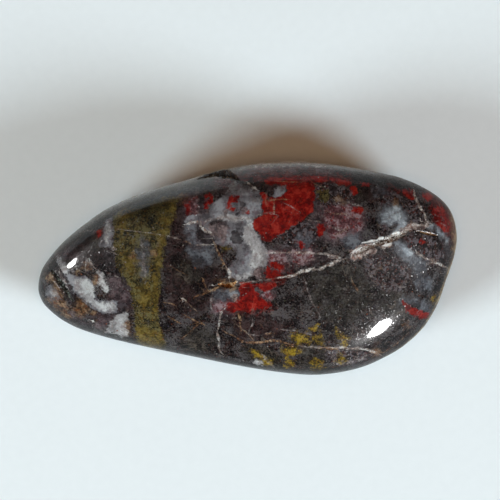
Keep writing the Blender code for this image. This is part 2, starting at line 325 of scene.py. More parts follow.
        ((350, 187), (356, 186.5), (356.5, 194), (351, 194.5)),
        ((361, 182), (370, 182.5), (369, 185.5), (362, 185.5)),
        ((261, 193), (266.7, 194), (266.7, 200), (261, 199)),
        ((186, 203), (190, 203), (191, 214), (187, 215)),
        ((204.5, 196), (208, 193.5), (212, 195), (213.5, 199), (212, 203), (209, 205), (208, 201),
            (210, 198), (207, 198), (207, 204), (209, 208), (206, 210), (204.5, 204)),
        ((227, 203.8), (228.8, 202.3), (230.5, 206), (235, 208.5), (233.8, 211.3), (228.8, 210)),
        ((228, 200), (230, 197.5), (236.3, 195.4), (239.6, 197.5), (237.5, 201.3), (232.5, 202.7),
            (228, 202.7)),
        ((245, 212), (248, 211.5), (248.5, 214), (245.5, 214)),
        ((317, 225), (322, 225), (325, 231), (320, 236), (317, 232)),
        ((298, 242), (302, 241), (304, 247), (300, 250)),
        ((419, 240), (423, 240), (424, 244), (420, 244)),
        ((264, 179), (280, 177), (300, 176), (325, 177), (325, 182), (300, 183.5), (285, 184.5),
            (268, 185)),
        ((328, 177), (340, 179), (351, 182), (349, 185), (336, 183)),
        ((264, 270), (269, 268), (270, 275), (265, 276)),
        ((98, 231), (101, 231), (101, 236), (98, 236)),
    ),
    "rust": (
        ((218, 281), (225, 278), (232, 279), (237, 282), (237, 287), (230, 290), (222, 287)),
        ((223, 173), (229, 171), (235, 174), (236, 179), (229, 179)),
        ((180, 196), (186, 195), (187, 199), (181, 200)),
        ((45, 275), (49, 273), (54, 278), (54, 283), (48, 282)),
        ((53, 283), (58, 285), (62, 292), (60, 297), (55, 292)),
        ((48, 298), (56, 297), (65, 301), (68, 309), (60, 310), (52, 305)),
        ((74, 299), (80, 298.5), (86, 303), (90, 309), (84, 315), (76, 314), (73, 307)),
        ((84.5, 263), (91, 264), (92, 269), (87, 269)),
        ((76.5, 270), (79.5, 270), (79.5, 274), (77, 274)),
        ((126, 320.5), (130, 321), (131, 329), (129, 334.5), (126.5, 331), (126.5, 325)),
        ((58, 309), (66, 311), (72, 317), (66, 317)),
        ((334, 196), (341, 198), (345, 203), (338, 202)),
        ((393, 201), (397, 201), (397, 205), (393, 205)),
        ((375, 266), (379, 265), (381, 267), (378, 269)),
        ((373, 350), (379, 350), (379, 355), (374, 355)),
        ((404, 321), (408, 321), (408, 327), (404, 327)),
        ((451, 206), (455, 212), (457, 232), (457, 252), (453, 260), (453, 236), (451, 216)),
        ((94, 276), (98, 277), (98.5, 284), (95, 283)),
        ((93, 311.5), (96.5, 311.5), (96.5, 316), (93, 316)),
        ((385.5, 240), (389, 240.5), (388.5, 243.5), (385, 243)),
        ((131, 255), (135, 255), (135, 259), (131, 259)),
        ((153, 250), (157, 250), (157, 254), (153, 254)),
    ),
    "black": (
        ((211.3, 221.5), (219, 220.5), (226.3, 221.5), (228, 227), (221.3, 225.5), (212.5, 226)),
        ((232.5, 231.3), (238.8, 230), (242.5, 235), (243, 241.3), (238.8, 245), (232.5, 243.8),
            (230.6, 240)),
        ((197.5, 225), (203.8, 228.8), (211.3, 236.3), (213, 242), (205, 244), (200, 243), (197.5, 235)),
        ((251, 188.5), (255, 189), (256.5, 192), (252.5, 192.5)),
        ((226, 285.5), (230, 285), (234, 285.5), (231, 287.5)),
        ((199, 195), (203, 194), (203, 206), (199, 205)),
        ((238, 203), (245, 203), (246, 207), (240, 208)),
        ((260, 271), (264, 270), (265, 276), (261, 277)),
        ((103, 250), (113, 249), (115, 262), (112, 270), (104, 262)),
        ((118, 303), (126, 303), (127, 311), (118, 311)),
        ((53, 262), (57, 264), (63, 276), (72, 289), (77, 301), (75, 308), (70, 303), (63, 291), (56, 279)),
        ((86, 317), (92, 315.5), (97, 318), (96, 324), (90, 326), (86, 322)),
        ((330, 185), (335, 184), (336, 194), (331, 195)),
        ((237, 212), (240, 212), (240, 216), (237, 216)),
        ((306, 226), (311, 225), (312, 229), (307, 230)),
        ((446, 246), (450, 247), (450, 256), (446, 254)),
    ),
}
# How each mineral lies in the stone: its lean along X and Y for each millimetre of depth, and how deep it is
LIE = {
    "maroon": (0.1, -0.1, 7.0),
    "greenish": (0.1, 0.1, 6.0),
    "deep_red": (0.1, 0.1, 5.0),
    "plum": (0.2, -0.1, 5.0),
    "pink": (-0.1, 0.2, 3.6),
    "granular": (0.0, 0.1, 5.0),
    "olive": (0.22, 0.0, 99.0),
    "mustard": (0.22, 0.0, 7.0),
    "gold": (0.0, 0.0, 5.0),
    "grey_quartz": (-0.2, 0.1, 6.0),
    "milky_quartz": (-0.2, 0.1, 4.4),
    "blue_grey": (-0.1, 0.1, 5.0),
    "cloudy_quartz": (-0.1, 0.1, 5.0),
    "inclusion": (-0.1, 0.1, 2.5),
    "cream_quartz": (0.0, 0.1, 4.0),
    "red_jasper": (0.15, 0.15, 4.2),
    "rust": (0.0, -0.1, 3.4),
    "black": (0.0, 0.0, 2.2),
}
# Patches of the underside, drawn in the same dots as seen through the stone
UNDERSIDE = {
    "grey_quartz": (
        ((196, 230), (230, 216), (262, 232), (270, 262), (250, 292), (214, 300), (190, 272)),
        ((330, 262), (372, 250), (398, 270), (380, 296), (346, 300)),
    ),
    "milky_quartz": (
        ((206, 244), (232, 234), (252, 250), (246, 278), (220, 284)),
    ),
    "red_jasper": (
        ((268, 296), (300, 286), (318, 306), (300, 326), (272, 320)),
        ((340, 214), (368, 208), (380, 228), (358, 240)),
        ((150, 262), (168, 256), (174, 276), (158, 284)),
    ),
    "plum": (
        ((286, 232), (330, 222), (352, 250), (330, 280), (296, 272)),
        ((96, 262), (126, 256), (138, 284), (116, 300)),
    ),
    "granular": (
        ((300, 240), (340, 236), (356, 262), (330, 284), (300, 276)),
        ((196, 296), (240, 300), (252, 322), (220, 330), (194, 318)),
    ),
    "deep_red": (
        ((262, 288), (306, 278), (330, 306), (304, 334), (264, 326)),
        ((376, 230), (410, 236), (416, 262), (392, 270), (374, 250)),
    ),
}

# Veins, and a few lines of painted glint, reflection and shade drawn the same way: half-width in dots,
# strength, and the points they run through. At each place only the nearest vein of a group shows.
VEINS = {
    "white_veins": (
        (0.6, 0.4, ((232, 285), (247, 282), (262, 280), (276.7, 278.3))),
        (1.2, 1.0, ((276.7, 278.3), (286, 276.5), (294.4, 275), (301, 271.7), (312, 269.4), (322, 267.8),
            (333, 263), (343.3, 258.9))),
        (1.0, 0.7, ((402, 232), (407, 228), (412, 224.5), (420, 225.5), (425, 224), (429, 222))),
        (1.1, 0.95, ((413.8, 191), (416, 200), (421, 208.8), (424.4, 213.8), (426.3, 221), (430, 223))),
        (0.8, 0.75, ((226, 307), (222, 312), (219.5, 320), (218, 330), (218.5, 340), (220, 350),
            (224, 355))),
        (0.8, 0.85, ((299, 345.7), (306, 346.2), (314, 346.6), (323, 347.2))),
        (0.9, 0.8, ((326, 347.6), (334, 347.6), (342, 347.2), (352, 348), (362, 349), (372, 351),
            (381, 355))),
        (0.9, 0.75, ((262, 253), (274, 252.8), (290, 252.4), (308, 252.8), (318, 253.6), (326.7, 254.4),
            (334, 255.5), (341, 257.6))),
        (0.5, 0.45, ((118, 229), (133, 231), (149, 233), (164, 235.5))),
        (0.8, 0.7, ((168, 236), (173, 237.5), (179, 239))),
        (1.1, 0.8, ((185, 225), (191.3, 223), (198.8, 222.5), (203, 228), (211.3, 234.4), (214, 236.5))),
        (1.3, 0.85, ((226.5, 267), (229, 273), (229.5, 280))),
        (0.8, 0.7, ((196, 245.5), (204, 244.5), (214, 244.5))),
        (0.9, 0.55, ((110, 251), (113, 252.5), (116.7, 254))),
        (0.9, 0.6, ((247, 182), (252, 186), (257, 190))),
        (0.9, 0.75, ((415, 251), (418, 253.5), (424.4, 257.8), (429, 259.5))),
        (1.5, 0.9, ((429.5, 259.8), (433, 261), (437, 262.5))),
        (0.8, 0.7, ((437, 263), (442, 265.5), (448, 268.5))),
        (1.2, 0.8, ((182, 298), (184, 299))),
        # A painted glint: the white dot in the dark pit
        (1.3, 0.95, ((91, 320.5), (94.5, 322))),
        (0.8, 0.8, ((112.7, 248), (116.5, 249))),
        (0.9, 0.8, ((89, 260), (92, 264), (95, 268))),
        (1.3, 0.8, ((211, 285), (213, 285))),
    ),
    "pale_veins": (
        (0.7, 0.55, ((296.7, 264.4), (304, 262), (312, 259), (320, 256.8))),
        (0.7, 0.55, ((306.7, 220.5), (313, 221), (319, 222))),
        (0.8, 0.6, ((330, 226), (338, 229), (346.7, 231.7))),
        (0.9, 0.65, ((333, 196.7), (337, 199), (341, 201), (352, 203.5), (362, 206.7))),
        (0.6, 0.5, ((281, 202), (290, 206.5), (299, 212))),
        (0.9, 0.75, ((234, 218.5), (245, 218.5), (253, 218.5), (261, 215), (266.7, 213), (272, 213.5),
            (278, 215.5))),
        (0.6, 0.5, ((278, 216.5), (275, 220), (272, 224.5))),
        (0.8, 0.55, ((333, 360), (340, 365), (350, 362), (360, 359), (372, 353))),
        (1.0, 0.6, ((331, 352), (333, 358), (334, 364))),
        (0.7, 0.55, ((303, 275.5), (307, 288), (312, 302), (316, 309), (320, 316.7))),
        # Painted reflection: the light streak along the top rim
        (2.0, 0.85, ((238, 169.5), (252, 165.5), (268, 163.5), (285, 163), (302, 163.5), (326, 166.5))),
        (0.7, 0.5, ((280, 329), (292, 330), (300, 332), (312, 334.4))),
        (0.6, 0.45, ((213, 293), (211, 300), (212, 309), (216, 316))),
        (0.7, 0.5, ((240, 280), (248, 281), (256, 282))),
        (1.1, 0.8, ((203.8, 226.5), (205.6, 222.5), (211.3, 220), (217.5, 218.5), (223.8, 217.5),
            (231, 218))),
        (1.4, 0.5, ((206, 178.5), (214, 177), (222, 177.4))),
        (0.6, 0.45, ((245, 333), (255, 335), (265, 334), (272, 331))),
        (0.7, 0.55, ((392, 282), (398, 287), (405, 287))),
        (0.8, 0.6, ((252.5, 318), (253, 323), (249.5, 330), (248, 337))),
        (0.7, 0.45, ((336.7, 285.5), (341, 287.5), (346.7, 289.5))),
        # Painted glints: a broken streak of small bright marks in the olive band
        (1.5, 0.55, ((142, 242), (143.5, 254), (144.5, 264), (145.5, 276))),
        (0.7, 0.5, ((368, 270), (371, 276), (377, 280))),
        (0.7, 0.5, ((433, 213), (438, 216), (443, 218))),
        (0.7, 0.5, ((436, 221), (441, 223), (446, 226))),
        (1.1, 0.6, ((263, 355), (268, 361), (275, 368))),
        # Painted glints: the light streaks in the crack at the tip, on this line and the next
        (1.2, 0.75, ((58.5, 271), (62, 277), (66, 285), (69, 290))),
        (0.7, 0.7, ((55.5, 270), (56.5, 276))),
        (0.9, 0.55, ((79, 233), (86, 230.5), (94, 229))),
        (0.8, 0.6, ((112.7, 278.3), (116, 276.5), (120, 277.5))),
    ),
    "tan_veins": (
        (0.8, 0.75, ((194.5, 296.7), (202, 294), (209, 292), (216, 288.5), (222, 284.5))),
        (0.7, 0.65, ((203, 278), (205, 284), (208, 291))),
        (0.8, 0.7, ((216.5, 248), (221, 258), (225, 266))),
        (2.2, 0.85, ((224.5, 175.2), (229, 174.6), (234, 177))),
        (0.7, 0.65, ((184.5, 314.5), (195, 320), (205.5, 325.5))),
        (0.6, 0.55, ((168, 316), (176, 321), (182, 324))),
        (0.6, 0.55, ((222, 330), (234, 336), (244, 341))),
        (0.7, 0.6, ((239, 311), (240, 317), (241, 323))),
        (0.7, 0.65, ((351, 279), (353, 284.5), (357.8, 291))),
        (1.0, 0.85, ((422, 232.5), (428, 233.3), (434.4, 235))),
        (0.7, 0.6, ((264, 200.5), (277, 199.8), (290, 199.5))),
        (0.7, 0.55, ((263, 334.4), (269, 333.4), (274.4, 332.8))),
        (0.9, 0.75, ((242, 342), (254, 342.3), (263, 342), (275, 340.4), (286, 343), (294, 344.3),
            (303, 345.4))),
        (1.1, 0.85, ((325, 347.5), (332, 348.6), (338, 349))),
        (0.7, 0.6, ((238, 311), (240, 320), (241, 332))),
        (0.6, 0.5, ((163, 302), (170, 303), (177, 306))),
        (0.7, 0.6, ((184, 241), (188, 242.5), (192, 244.5))),
        (0.6, 0.45, ((274, 181), (282, 182), (300, 182))),
        (0.6, 0.4, ((169, 265.5), (178, 270), (188, 275.5))),
        (0.6, 0.5, ((180, 340), (192, 330), (202, 320))),
        (0.7, 0.55, ((370, 352), (378, 353), (388, 350), (398, 343), (408, 333))),
    ),
    "cross_veins": (
        (0.7, 0.6, ((274, 199), (274, 207), (274.3, 214.5))),
        (0.9, 0.7, ((213.5, 241), (215.5, 245), (217, 249))),
        (0.6, 0.5, ((236, 324), (244, 330), (254, 340))),
        (0.6, 0.45, ((312, 182), (318, 186), (325, 188))),
        (0.6, 0.45, ((184, 298), (190, 305), (198, 312))),
        (0.7, 0.45, ((326, 211), (334, 214), (345, 214), (352, 218))),
        (0.7, 0.45, ((332, 236), (340, 233), (350, 226))),
    ),
    # Black lines. Most lie along the open cracks and pits, and their black there is painted shade in the
    # crevices
    "black_lines": (
        (0.7, 0.95, ((198, 180.5), (205, 178), (213.8, 176), (225, 177.6), (235, 180), (241.9, 182.3))),
        (0.7, 0.95, ((213.8, 173), (221, 171.6), (230, 172.2), (233.8, 174.4), (236.3, 178))),
        (0.8, 0.85, ((262, 215), (265, 214), (268, 215))),
        (0.8, 0.75, ((246, 312), (252, 316), (254, 324))),
        (0.9, 0.9, ((414.4, 231.4), (419, 232.6), (424.4, 234))),
        (0.8, 0.9, ((286, 344.5), (289, 345), (292, 345.5))),
        (1.0, 0.85, ((378, 242), (384, 241))),
        (0.9, 0.8, ((391, 237), (400, 235))),
    ),
    # Painted glints: white bars where the crystals of the drusy crack mirror the lamps
    "painted_glint_bars": (
        (1.4, 1.0, ((392, 234.6), (396, 233.6), (400, 233))),
        (1.1, 1.0, ((377.5, 239), (384, 238))),
        (0.9, 0.95, ((361, 243), (369, 241.5), (377, 240.3))),
        (1.0, 0.5, ((351, 253), (356, 250), (362, 247))),
        (0.9, 0.8, ((382, 245.5), (388, 244.6), (392, 241))),
    ),
}
# Soft lighter and darker clouds: place and radius in dots, and the share by which the tone rises or falls.
# Most are the stone's own tone; the three on the top rim, at 262, 290 and 322 across, are painted reflection.
CLOUDS_AND_RIM_SHEEN = (
    (330, 300, 46, -0.12), (200, 270, 26, -0.16), (258, 255, 10, 0.2), (401, 226, 7, 0.25),
    (260, 326, 24, 0.4), (84, 292, 12, -0.15), (100, 274, 10, 0.35), (403, 248, 8, 0.2),
    (340, 222, 14, 0.1), (58, 275, 12, 0.15), (206, 320, 26, -0.1), (225, 355, 30, -0.15),
    (148, 210, 22, -0.6), (441, 216, 14, -0.28), (385, 190, 22, -0.15), (90, 245, 18, -0.25),
    (120, 270, 14, -0.1), (406, 254, 6, 0.15), (262, 171, 13, 0.65), (290, 170, 14, 0.65),
    (322, 172, 15, 0.6), (356, 183, 12, 0.25), (290, 181, 8, 0.35), (318, 181, 8, 0.2), (66, 300, 16, 0.12),
)
DRAWN_STEPS = 4  # points on a drawn line for each of its own
DRAWN_IN = 0.04  # share by which the drawing narrows for each millimetre of depth
PATCH_REACH = 1.2  # how far outside its outline a patch is still measured
THINNING = 0.5  # how quickly a patch thins out towards its deepest place
UNDERSIDE_LEVEL = 2.6  # height up to which the patches of the underside reach
VEIN_LIE = (0.1, 0.15, 8.0)
VEIN_REACH = 0.7  # how far to its sides a vein is still measured
VEIN_SIDE_FADE = 0.35  # over how much of that it fades
VEIN_END_FADE = 2.0  # over how much of its depth it fades
VEIN_FAR = 9.0  # half-widths off, where there is no vein near
END_WIDTH = 0.3  # share of its width that a vein has left at its ends
END_SHARE = 0.15  # share of its length over which it narrows
DRUSE_SHARE = 0.8  # share of the crack's width that crystals cover
DRUSE_DENSITY = 150.0  # crystals in a square millimetre
DRUSE_WIDTH = 0.045  # from the axis of a crystal to its corners
DRUSE_LENGTH = 0.12
DRUSE_TILT = 0.6
DRUSE_SEED = 4
CRYSTAL_SIDES = 6
CRYSTAL_SIZES = (0.35, 1.15)  # smallest and largest, against the width and length above
CRYSTAL_SIZE_SEED = 5
# The ragged sides and the uneven floors of the cracks: size, fineness and seed of each wave
RAGGED_SIDES = ((0.55, 3.2, 3.0), (0.3, 9.0, 7.0))
UNEVEN_FLOORS = ((0.5, 5.0, 11.0), (0.35, 13.0, 17.0))
WALL_STEEPNESS = 2.5
WALL_ROUNDNESS = 0.6

# The block's six sides on a flat sheet: axis and far end, the axes drawn across and up, and the place
SHEET_SIDE = 56.0
SHEET = {
    (2, True): (0, 1, 0.0, 0.0),
    (2, False): (0, 1, 0.0, 16.9),
    (1, True): (0, 2, 0.0, 33.8),
    (1, False): (0, 2, 0.0, 44.8),
    (0, True): (2, 1, 32.2, 0.0),
    (0, False): (2, 1, 32.2, 16.9),
}


def tone(red, green, blue):
    """A tone as it looks on a screen, 0 to 255, as the light that the surface gives back."""
    return tuple(((c / 255 + 0.055) / 1.055) ** 2.4 for c in (red, green, blue)) + (1.0,)


def tones(clouds, grains, grain_share, contrast, dark, middle, light, tint, tint_share=0.4):
    """A mineral's dark, middle and light tones and second hue, and how they wander, for mottled_tones."""
    return {
        "Clouds": clouds, "Grains": grains, "Grain share": grain_share, "Contrast": contrast,
        "Dark": tone(*dark), "Middle": tone(*middle), "Light": tone(*light),
        "Tint": tone(*tint), "Tint share": tint_share,
    }


def edge(raggedness, teeth, softness, strength):
    """How a mineral's patches end, for ragged_patch."""
    return {"Raggedness": raggedness, "Teeth": teeth, "Softness": softness, "Strength": strength}


# Finish of each mineral, those further down the list over those above
GROUND = tones(1.0, 8.5, 0.62, 2.5, (12, 9, 11), (34, 28, 28), (74, 68, 68), (52, 29, 25), 0.45)
MINERALS = {
    "maroon": (
        tones(1.3, 8.5, 0.6, 2.2, (9, 5, 7), (26, 15, 15), (56, 40, 39), (42, 12, 12)),
        edge(1.8, 1.8, 0.35, 0.8),
    ),
    "greenish": (
        tones(1.3, 8.0, 0.65, 2.1, (14, 13, 12), (34, 31, 27), (72, 67, 59), (48, 38, 24)),
        edge(1.8, 1.6, 0.4, 0.55),
    ),
    "deep_red": (
        tones(1.6, 7.0, 0.55, 2.1, (26, 8, 8), (66, 12, 8), (104, 44, 40), (90, 10, 5), 0.6),
        edge(1.6, 2.2, 0.2, 0.8),
    ),
    "plum": (
        tones(1.6, 7.0, 0.5, 1.9, (42, 32, 36), (72, 58, 60), (110, 92, 94), (82, 50, 52)),
        edge(1.4, 2.0, 0.25, 0.6),
    ),
    "pink": (
        tones(1.6, 6.0, 0.5, 2.1, (60, 32, 35), (98, 64, 67), (142, 118, 120), (116, 36, 34)),
        edge(1.2, 2.4, 0.14, 0.9),
    ),
    "granular": (
        tones(1.8, 6.0, 0.7, 2.4, (14, 11, 13), (43, 36, 38), (96, 87, 90), (70, 32, 26), 0.5),
        edge(1.5, 2.2, 0.2, 0.85),
    ),
    "olive": (
        tones(1.3, 8.0, 0.6, 2.2, (26, 25, 15), (65, 56, 31), (98, 88, 54), (86, 64, 24), 0.5),
        edge(1.0, 3.0, 0.08, 0.96),
    ),
    "mustard": (
        tones(1.5, 7.0, 0.55, 2.1, (46, 37, 14), (88, 70, 22), (120, 99, 44), (100, 66, 18)),
        edge(1.8, 2.6, 0.16, 0.65),
    ),
    "gold": (
        tones(1.6, 7.5, 0.6, 2.3, (46, 37, 16), (116, 91, 18), (160, 130, 38), (124, 82, 16)),
        edge(1.6, 2.8, 0.22, 0.82),
    ),
    "grey_quartz": (
        tones(0.9, 6.0, 0.35, 1.5, (71, 65, 68), (108, 103, 106), (142, 139, 142), (102, 86, 90)),
        edge(0.9, 3.2, 0.1, 0.9),
    ),
    "milky_quartz": (
        tones(1.0, 6.0, 0.4, 1.5, (114, 107, 106), (156, 149, 147), (195, 191, 188), (136, 122, 120)),
        edge(0.9, 3.4, 0.12, 0.88),
    ),
    "blue_grey": (
        tones(1.2, 6.5, 0.45, 1.8, (50, 50, 54), (82, 82, 88), (116, 117, 122), (74, 64, 66)),
        edge(1.4, 2.2, 0.3, 0.75),
    ),
    "cloudy_quartz": (
        tones(1.0, 6.0, 0.35, 1.4, (88, 88, 92), (132, 135, 140), (182, 186, 190), (112, 104, 104)),
        edge(1.1, 2.0, 0.26, 0.88),
    ),
    "inclusion": (
        tones(1.4, 6.0, 0.5, 1.9, (60, 48, 48), (100, 80, 78), (134, 114, 112), (88, 58, 56)),
        edge(0.9, 3.2, 0.1, 0.85),
    ),
    "cream_quartz": (
        tones(1.8, 5.5, 0.55, 2.0, (82, 64, 60), (142, 122, 114), (206, 194, 186), (148, 102, 88), 0.45),
        edge(0.9, 3.4, 0.08, 0.9),
    ),
    "red_jasper": (
        tones(1.2, 6.0, 0.5, 1.8, (74, 3, 3), (116, 9, 5), (146, 36, 26), (126, 20, 9)),
        edge(0.85, 3.2, 0.08, 0.96),
    ),
    "rust": (
        tones(1.6, 6.5, 0.5, 2.0, (52, 36, 26), (98, 68, 44), (146, 116, 88), (112, 60, 28), 0.45),
        edge(1.3, 2.8, 0.24, 0.72),
    ),
    "black": (
        tones(2.0, 6.0, 0.5, 1.9, (16, 12, 14), (36, 31, 33), (66, 58, 60), (46, 29, 29)),
        edge(1.0, 3.2, 0.08, 0.85),
    ),
}
# Flecks: how fine and how frequent they are, their size, and their tone
MINERAL_FLECKS = {
    "olive": ((6.2, 0.16, 0.36, tone(92, 90, 88)), (5.6, 0.16, 0.36, tone(112, 76, 24)),
        (6.0, 0.18, 0.36, tone(42, 46, 32))),
    "granular": ((5.2, 0.14, 0.34, tone(104, 34, 22)), (5.8, 0.12, 0.32, tone(160, 150, 142))),
    "gold": ((6.0, 0.16, 0.36, tone(28, 24, 14)),),
    "plum": ((5.6, 0.12, 0.34, tone(124, 106, 108)),),
}
# Each mineral's grain is taken from another place, so that no two are alike
MINERAL_SHIFT = {name: (7.0 * i + 3.0, 5.0 * i, 11.0 * i) for i, name in enumerate(MINERALS)}
GROUND_FLECKS = (
    (6.0, 0.12, 0.34, tone(84, 78, 78)), (4.6, 0.16, 0.34, tone(12, 9, 11)),
    (3.6, 0.07, 0.28, tone(98, 48, 26)), (5.2, 0.08, 0.34, tone(66, 56, 68)),
    (5.6, 0.07, 0.34, tone(58, 56, 38)), (7.0, 0.03, 0.34, tone(140, 134, 132)),
)
FLECK_SHIFT = (3.0, 8.0, 5.0)
FLECKS = (
    (5.4, 0.03, 0.32, tone(116, 108, 104)), (4.8, 0.05, 0.32, tone(20, 16, 18)),
    (3.8, 0.02, 0.28, tone(104, 56, 36)),
)
CRESCENTS = {"Scale": 3.0, "Size": 0.3, "Width": 0.12, "Share": 0.6}
CRESCENT_TONE = tone(134, 116, 106)
CRESCENTS_IN_GROUND = 0.2  # how strongly they show outside the granular patches
CRESCENTS_IN_GRAINS = 0.6
# Hairlines: how fine they wander, their width, how many show, how strongly, and their tone
HAIRLINES = (
    (0.42, 0.010, 0.4, 0.35, tone(120, 104, 92)), (0.75, 0.010, 0.35, 0.3, tone(112, 82, 62)),
    (1.1, 0.014, 0.4, 0.35, tone(30, 26, 27)),
)


def habit(wander, swelling, breaks, softness=0.5):
    """How a vein runs, for broken_vein."""
    return {"Wander": wander, "Swelling": swelling, "Breaks": breaks, "Softness": softness}


VEIN_TONES = {
    "white_veins": (
        tones(2.0, 6.0, 0.6, 2.1, (112, 94, 86), (166, 150, 141), (220, 212, 205), (156, 118, 102)),
        habit(2.2, 1.6, 0.65, 0.8),
    ),
    "pale_veins": (
        tones(2.0, 6.0, 0.6, 2.1, (84, 72, 70), (128, 114, 110), (176, 166, 162), (128, 98, 88)),
        habit(2.4, 1.6, 0.85, 0.9),
    ),
    "tan_veins": (
        tones(2.0, 6.0, 0.6, 2.1, (76, 50, 34), (128, 90, 60), (172, 138, 106), (140, 84, 48)),
        habit(2.0, 1.4, 0.85, 0.8),
    ),
    "cross_veins": (
        tones(2.0, 6.0, 0.6, 2.1, (90, 70, 58), (132, 108, 90), (170, 150, 130), (140, 98, 66)),
        habit(1.4, 1.4, 0.8, 0.8),
    ),
    "black_lines": (
        tones(2.0, 6.0, 0.7, 1.6, (6, 5, 5), (14, 11, 11), (36, 28, 26), (24, 14, 12)),
        habit(1.0, 1.0, 0.3),
    ),
    # Painted glints of the drusy crack
    "painted_glint_bars": (
        tones(2.0, 6.0, 0.6, 1.6, (206, 194, 186), (238, 234, 230), (253, 253, 252), (222, 206, 196)),
        habit(0.6, 0.8, 0.2, 0.8),
    ),
}
DARK_WALLS = tones(3.0, 7.0, 0.5, 2.2, (14, 13, 12), (44, 42, 38), (112, 114, 106), (58, 44, 34))
# What the walls of each crack are like: how rusty, and how drusy
WALLS = {
    "rim_crack": (0.1, 0.0), "small_pit": (1.0, 0.0), "drusy_crack": (0.0, 1.0), "tip_crack": (0.0, 0.0),
    "end_slit": (0.6, 0.0), "lower_slit": (0.8, 0.0),
}
RUSTY_WALLS = tones(2.4, 7.0, 0.5, 2.2, (72, 40, 20), (158, 104, 54), (222, 190, 148), (168, 92, 34), 0.5)
DRUSE_WALLS = tones(3.0, 7.0, 0.55, 2.2, (84, 68, 62), (158, 138, 128), (220, 212, 204), (156, 114, 96))
CRYSTAL_TONES = tones(2.0, 12.0, 0.5, 2.0, (150, 136, 128), (208, 198, 190), (246, 242, 238), (190, 162, 148))
# Painted reflection: a pale tan fringe along the widest line, mostly at the right end, where the steep edge
# mirrors light
SHEEN_FRINGE_TONES = tones(1.6, 6.0, 0.5, 2.0, (84, 64, 44), (140, 116, 84), (190, 168, 132), (120, 80, 46))
SHEEN_FRINGE_EDGE = edge(0.4, 2.6, 0.1, 0.75)
# How far inside the painted fringe the widest line is, at each section
SHEEN_FRINGE = (0.34, 0.32, 0.2, -0.1, -0.3, -0.3, -0.3, -0.3, -0.3, -0.2, 0.05, 0.3)
SHEEN_FRINGE_THINNING = 0.5  # how quickly it ends above and below the widest line
# Share of the polish left on the turned-down edge and on the widest line, at each section
EDGE_POLISH = (0.03, 0.03, 0.08, 0.2, 0.4, 0.7, 0.35, 0.1, 0.05, 0.03, 0.03, 0.03)
RIM_POLISH = (0.02, 0.02, 0.8, 1.0, 0.8, 0.7, 0.3, 0.05, 0.02, 0.02, 0.02, 0.02)
# Painted shade: how much darker the turned edge is painted, at each section
PAINTED_EDGE_SHADE = (0.25, 0.1, 0.0, 0.0, 0.0, 0.1, 0.2, 0.35, 0.4, 0.4, 0.4, 0.35)
# How much the surface still faces up where the edge begins and where it is reached, and for the widest line
EDGE_FLAT, EDGE_STEEP = 0.84, 0.6
RIM_FLAT, RIM_STEEP = 0.42, 0.22
# How mottled tones are put together. Levels run from 0 to 1.
DARK_LEVEL, MIDDLE_LEVEL, LIGHT_LEVEL = 0.34, 0.5, 0.66
CRYSTAL_LEVELS = (0.32, 0.68)
CRYSTAL_SHARE = 0.5  # of the fine grain that is whole crystals
HUE_SHIFT = (19.0, 3.0, 8.0)
HUE_FINENESS = 2.6  # how much finer than the clouds the second hue wanders
HUE_STEPS = (-0.08, 0.08)  # how much it differs from crystal to crystal
HUE_LIMITS = (0.72, 0.28)  # the level it starts at, for the least and the most of it
HUE_BLUR = 0.1
# How veins break up: fineness, and how far that moves or swells them
BEND_FINENESS, BEND_REACH = 1.6, 2.0
SWELLING_FINENESS, SWELLING_REACH = 2.4, 3.0
SWELLING_SHIFT = (5.0, 9.0, 2.0)
BREAK_FINENESS = 7.0
BREAK_LEVELS = (0.36, 0.56)
# How flecks and crescents are shaped
PULL_FINENESS = 5.0
PULL = (0.16, 0.16, 0.16)  # how far flecks are pulled out of round
FLECK_SIZES = (0.45, 1.15)
FLECK_CORE = 0.55  # share of a fleck's size that shows fully
CRESCENT_SIZES = (0.6, 1.2)
CRESCENT_GAP_FINENESS = 4.5
CRESCENT_GAPS = (0.46, 0.6)
HAIRLINE_SHIFT = (31.0, 17.0, 5.0)
HAIRLINE_GAP_FINENESS = 1.6  # against the hairline's own
# The levels at which a hairline comes up and is whole, each where all of them show and where none does
HAIRLINE_STARTS, HAIRLINE_ENDS = (0.2, 0.7), (0.3, 0.8)
# The inside of the cracks
HOLLOW_LEVELS = (-0.05, 0.35)
DRUSE_COVER = 0.35  # how much of the vein the walls of a drusy crack hide
CRACK_ROUGHNESS = 0.85
# Tiny pits and worn places in the polish, and sparks in its coat
PITS = {"Scale": 9.0, "Share": 0.35, "Size": 0.4}
PIT_ROUGHNESS = 0.25
PIT_POLISH_LOST = 0.85
PIT_DEPTH = 0.8  # against the relief of the skin
WORN_FINENESS = 5.0
WORN_LEVELS = (0.45, 0.7)
ROUGHNESS, WORN_ROUGHNESS = 0.3, 0.55
SKIN_FINENESS = 7.0
SKIN_SHARE = 0.4
SKIN_RELIEF = 0.014
SKIN_STRENGTH = 0.6
SPARKS = {"scale": 6.0, "share": 0.6, "size": 0.45}
SPARK_SHIFT = (6.0, 2.0, 9.0)
SPARK_HEIGHT = 0.0065
STONE_GLOSS = {"Coat Roughness": 0.045, "Coat IOR": 1.46, "IOR": 1.54, "Specular IOR Level": 0.08}
CRYSTAL_GLOSS = {"Roughness": 0.12, "IOR": 1.54}
PAPER_GLOSS = {"Roughness": 0.95, "Specular IOR Level": 0.1}

# Light and camera. The paper, the lamps and the height of the camera are in metres.
PAPER_RADIUS = 1.2
PAPER_CORNERS = 96
PAPER_FINENESS = 1.5
PAPER_LOW = (0.88, 0.88, 0.88, 1.0)
PAPER_HIGH = (0.92, 0.92, 0.92, 1.0)
LAMP_DISTANCE = 0.6
LAMP_RADIUS = 0.10
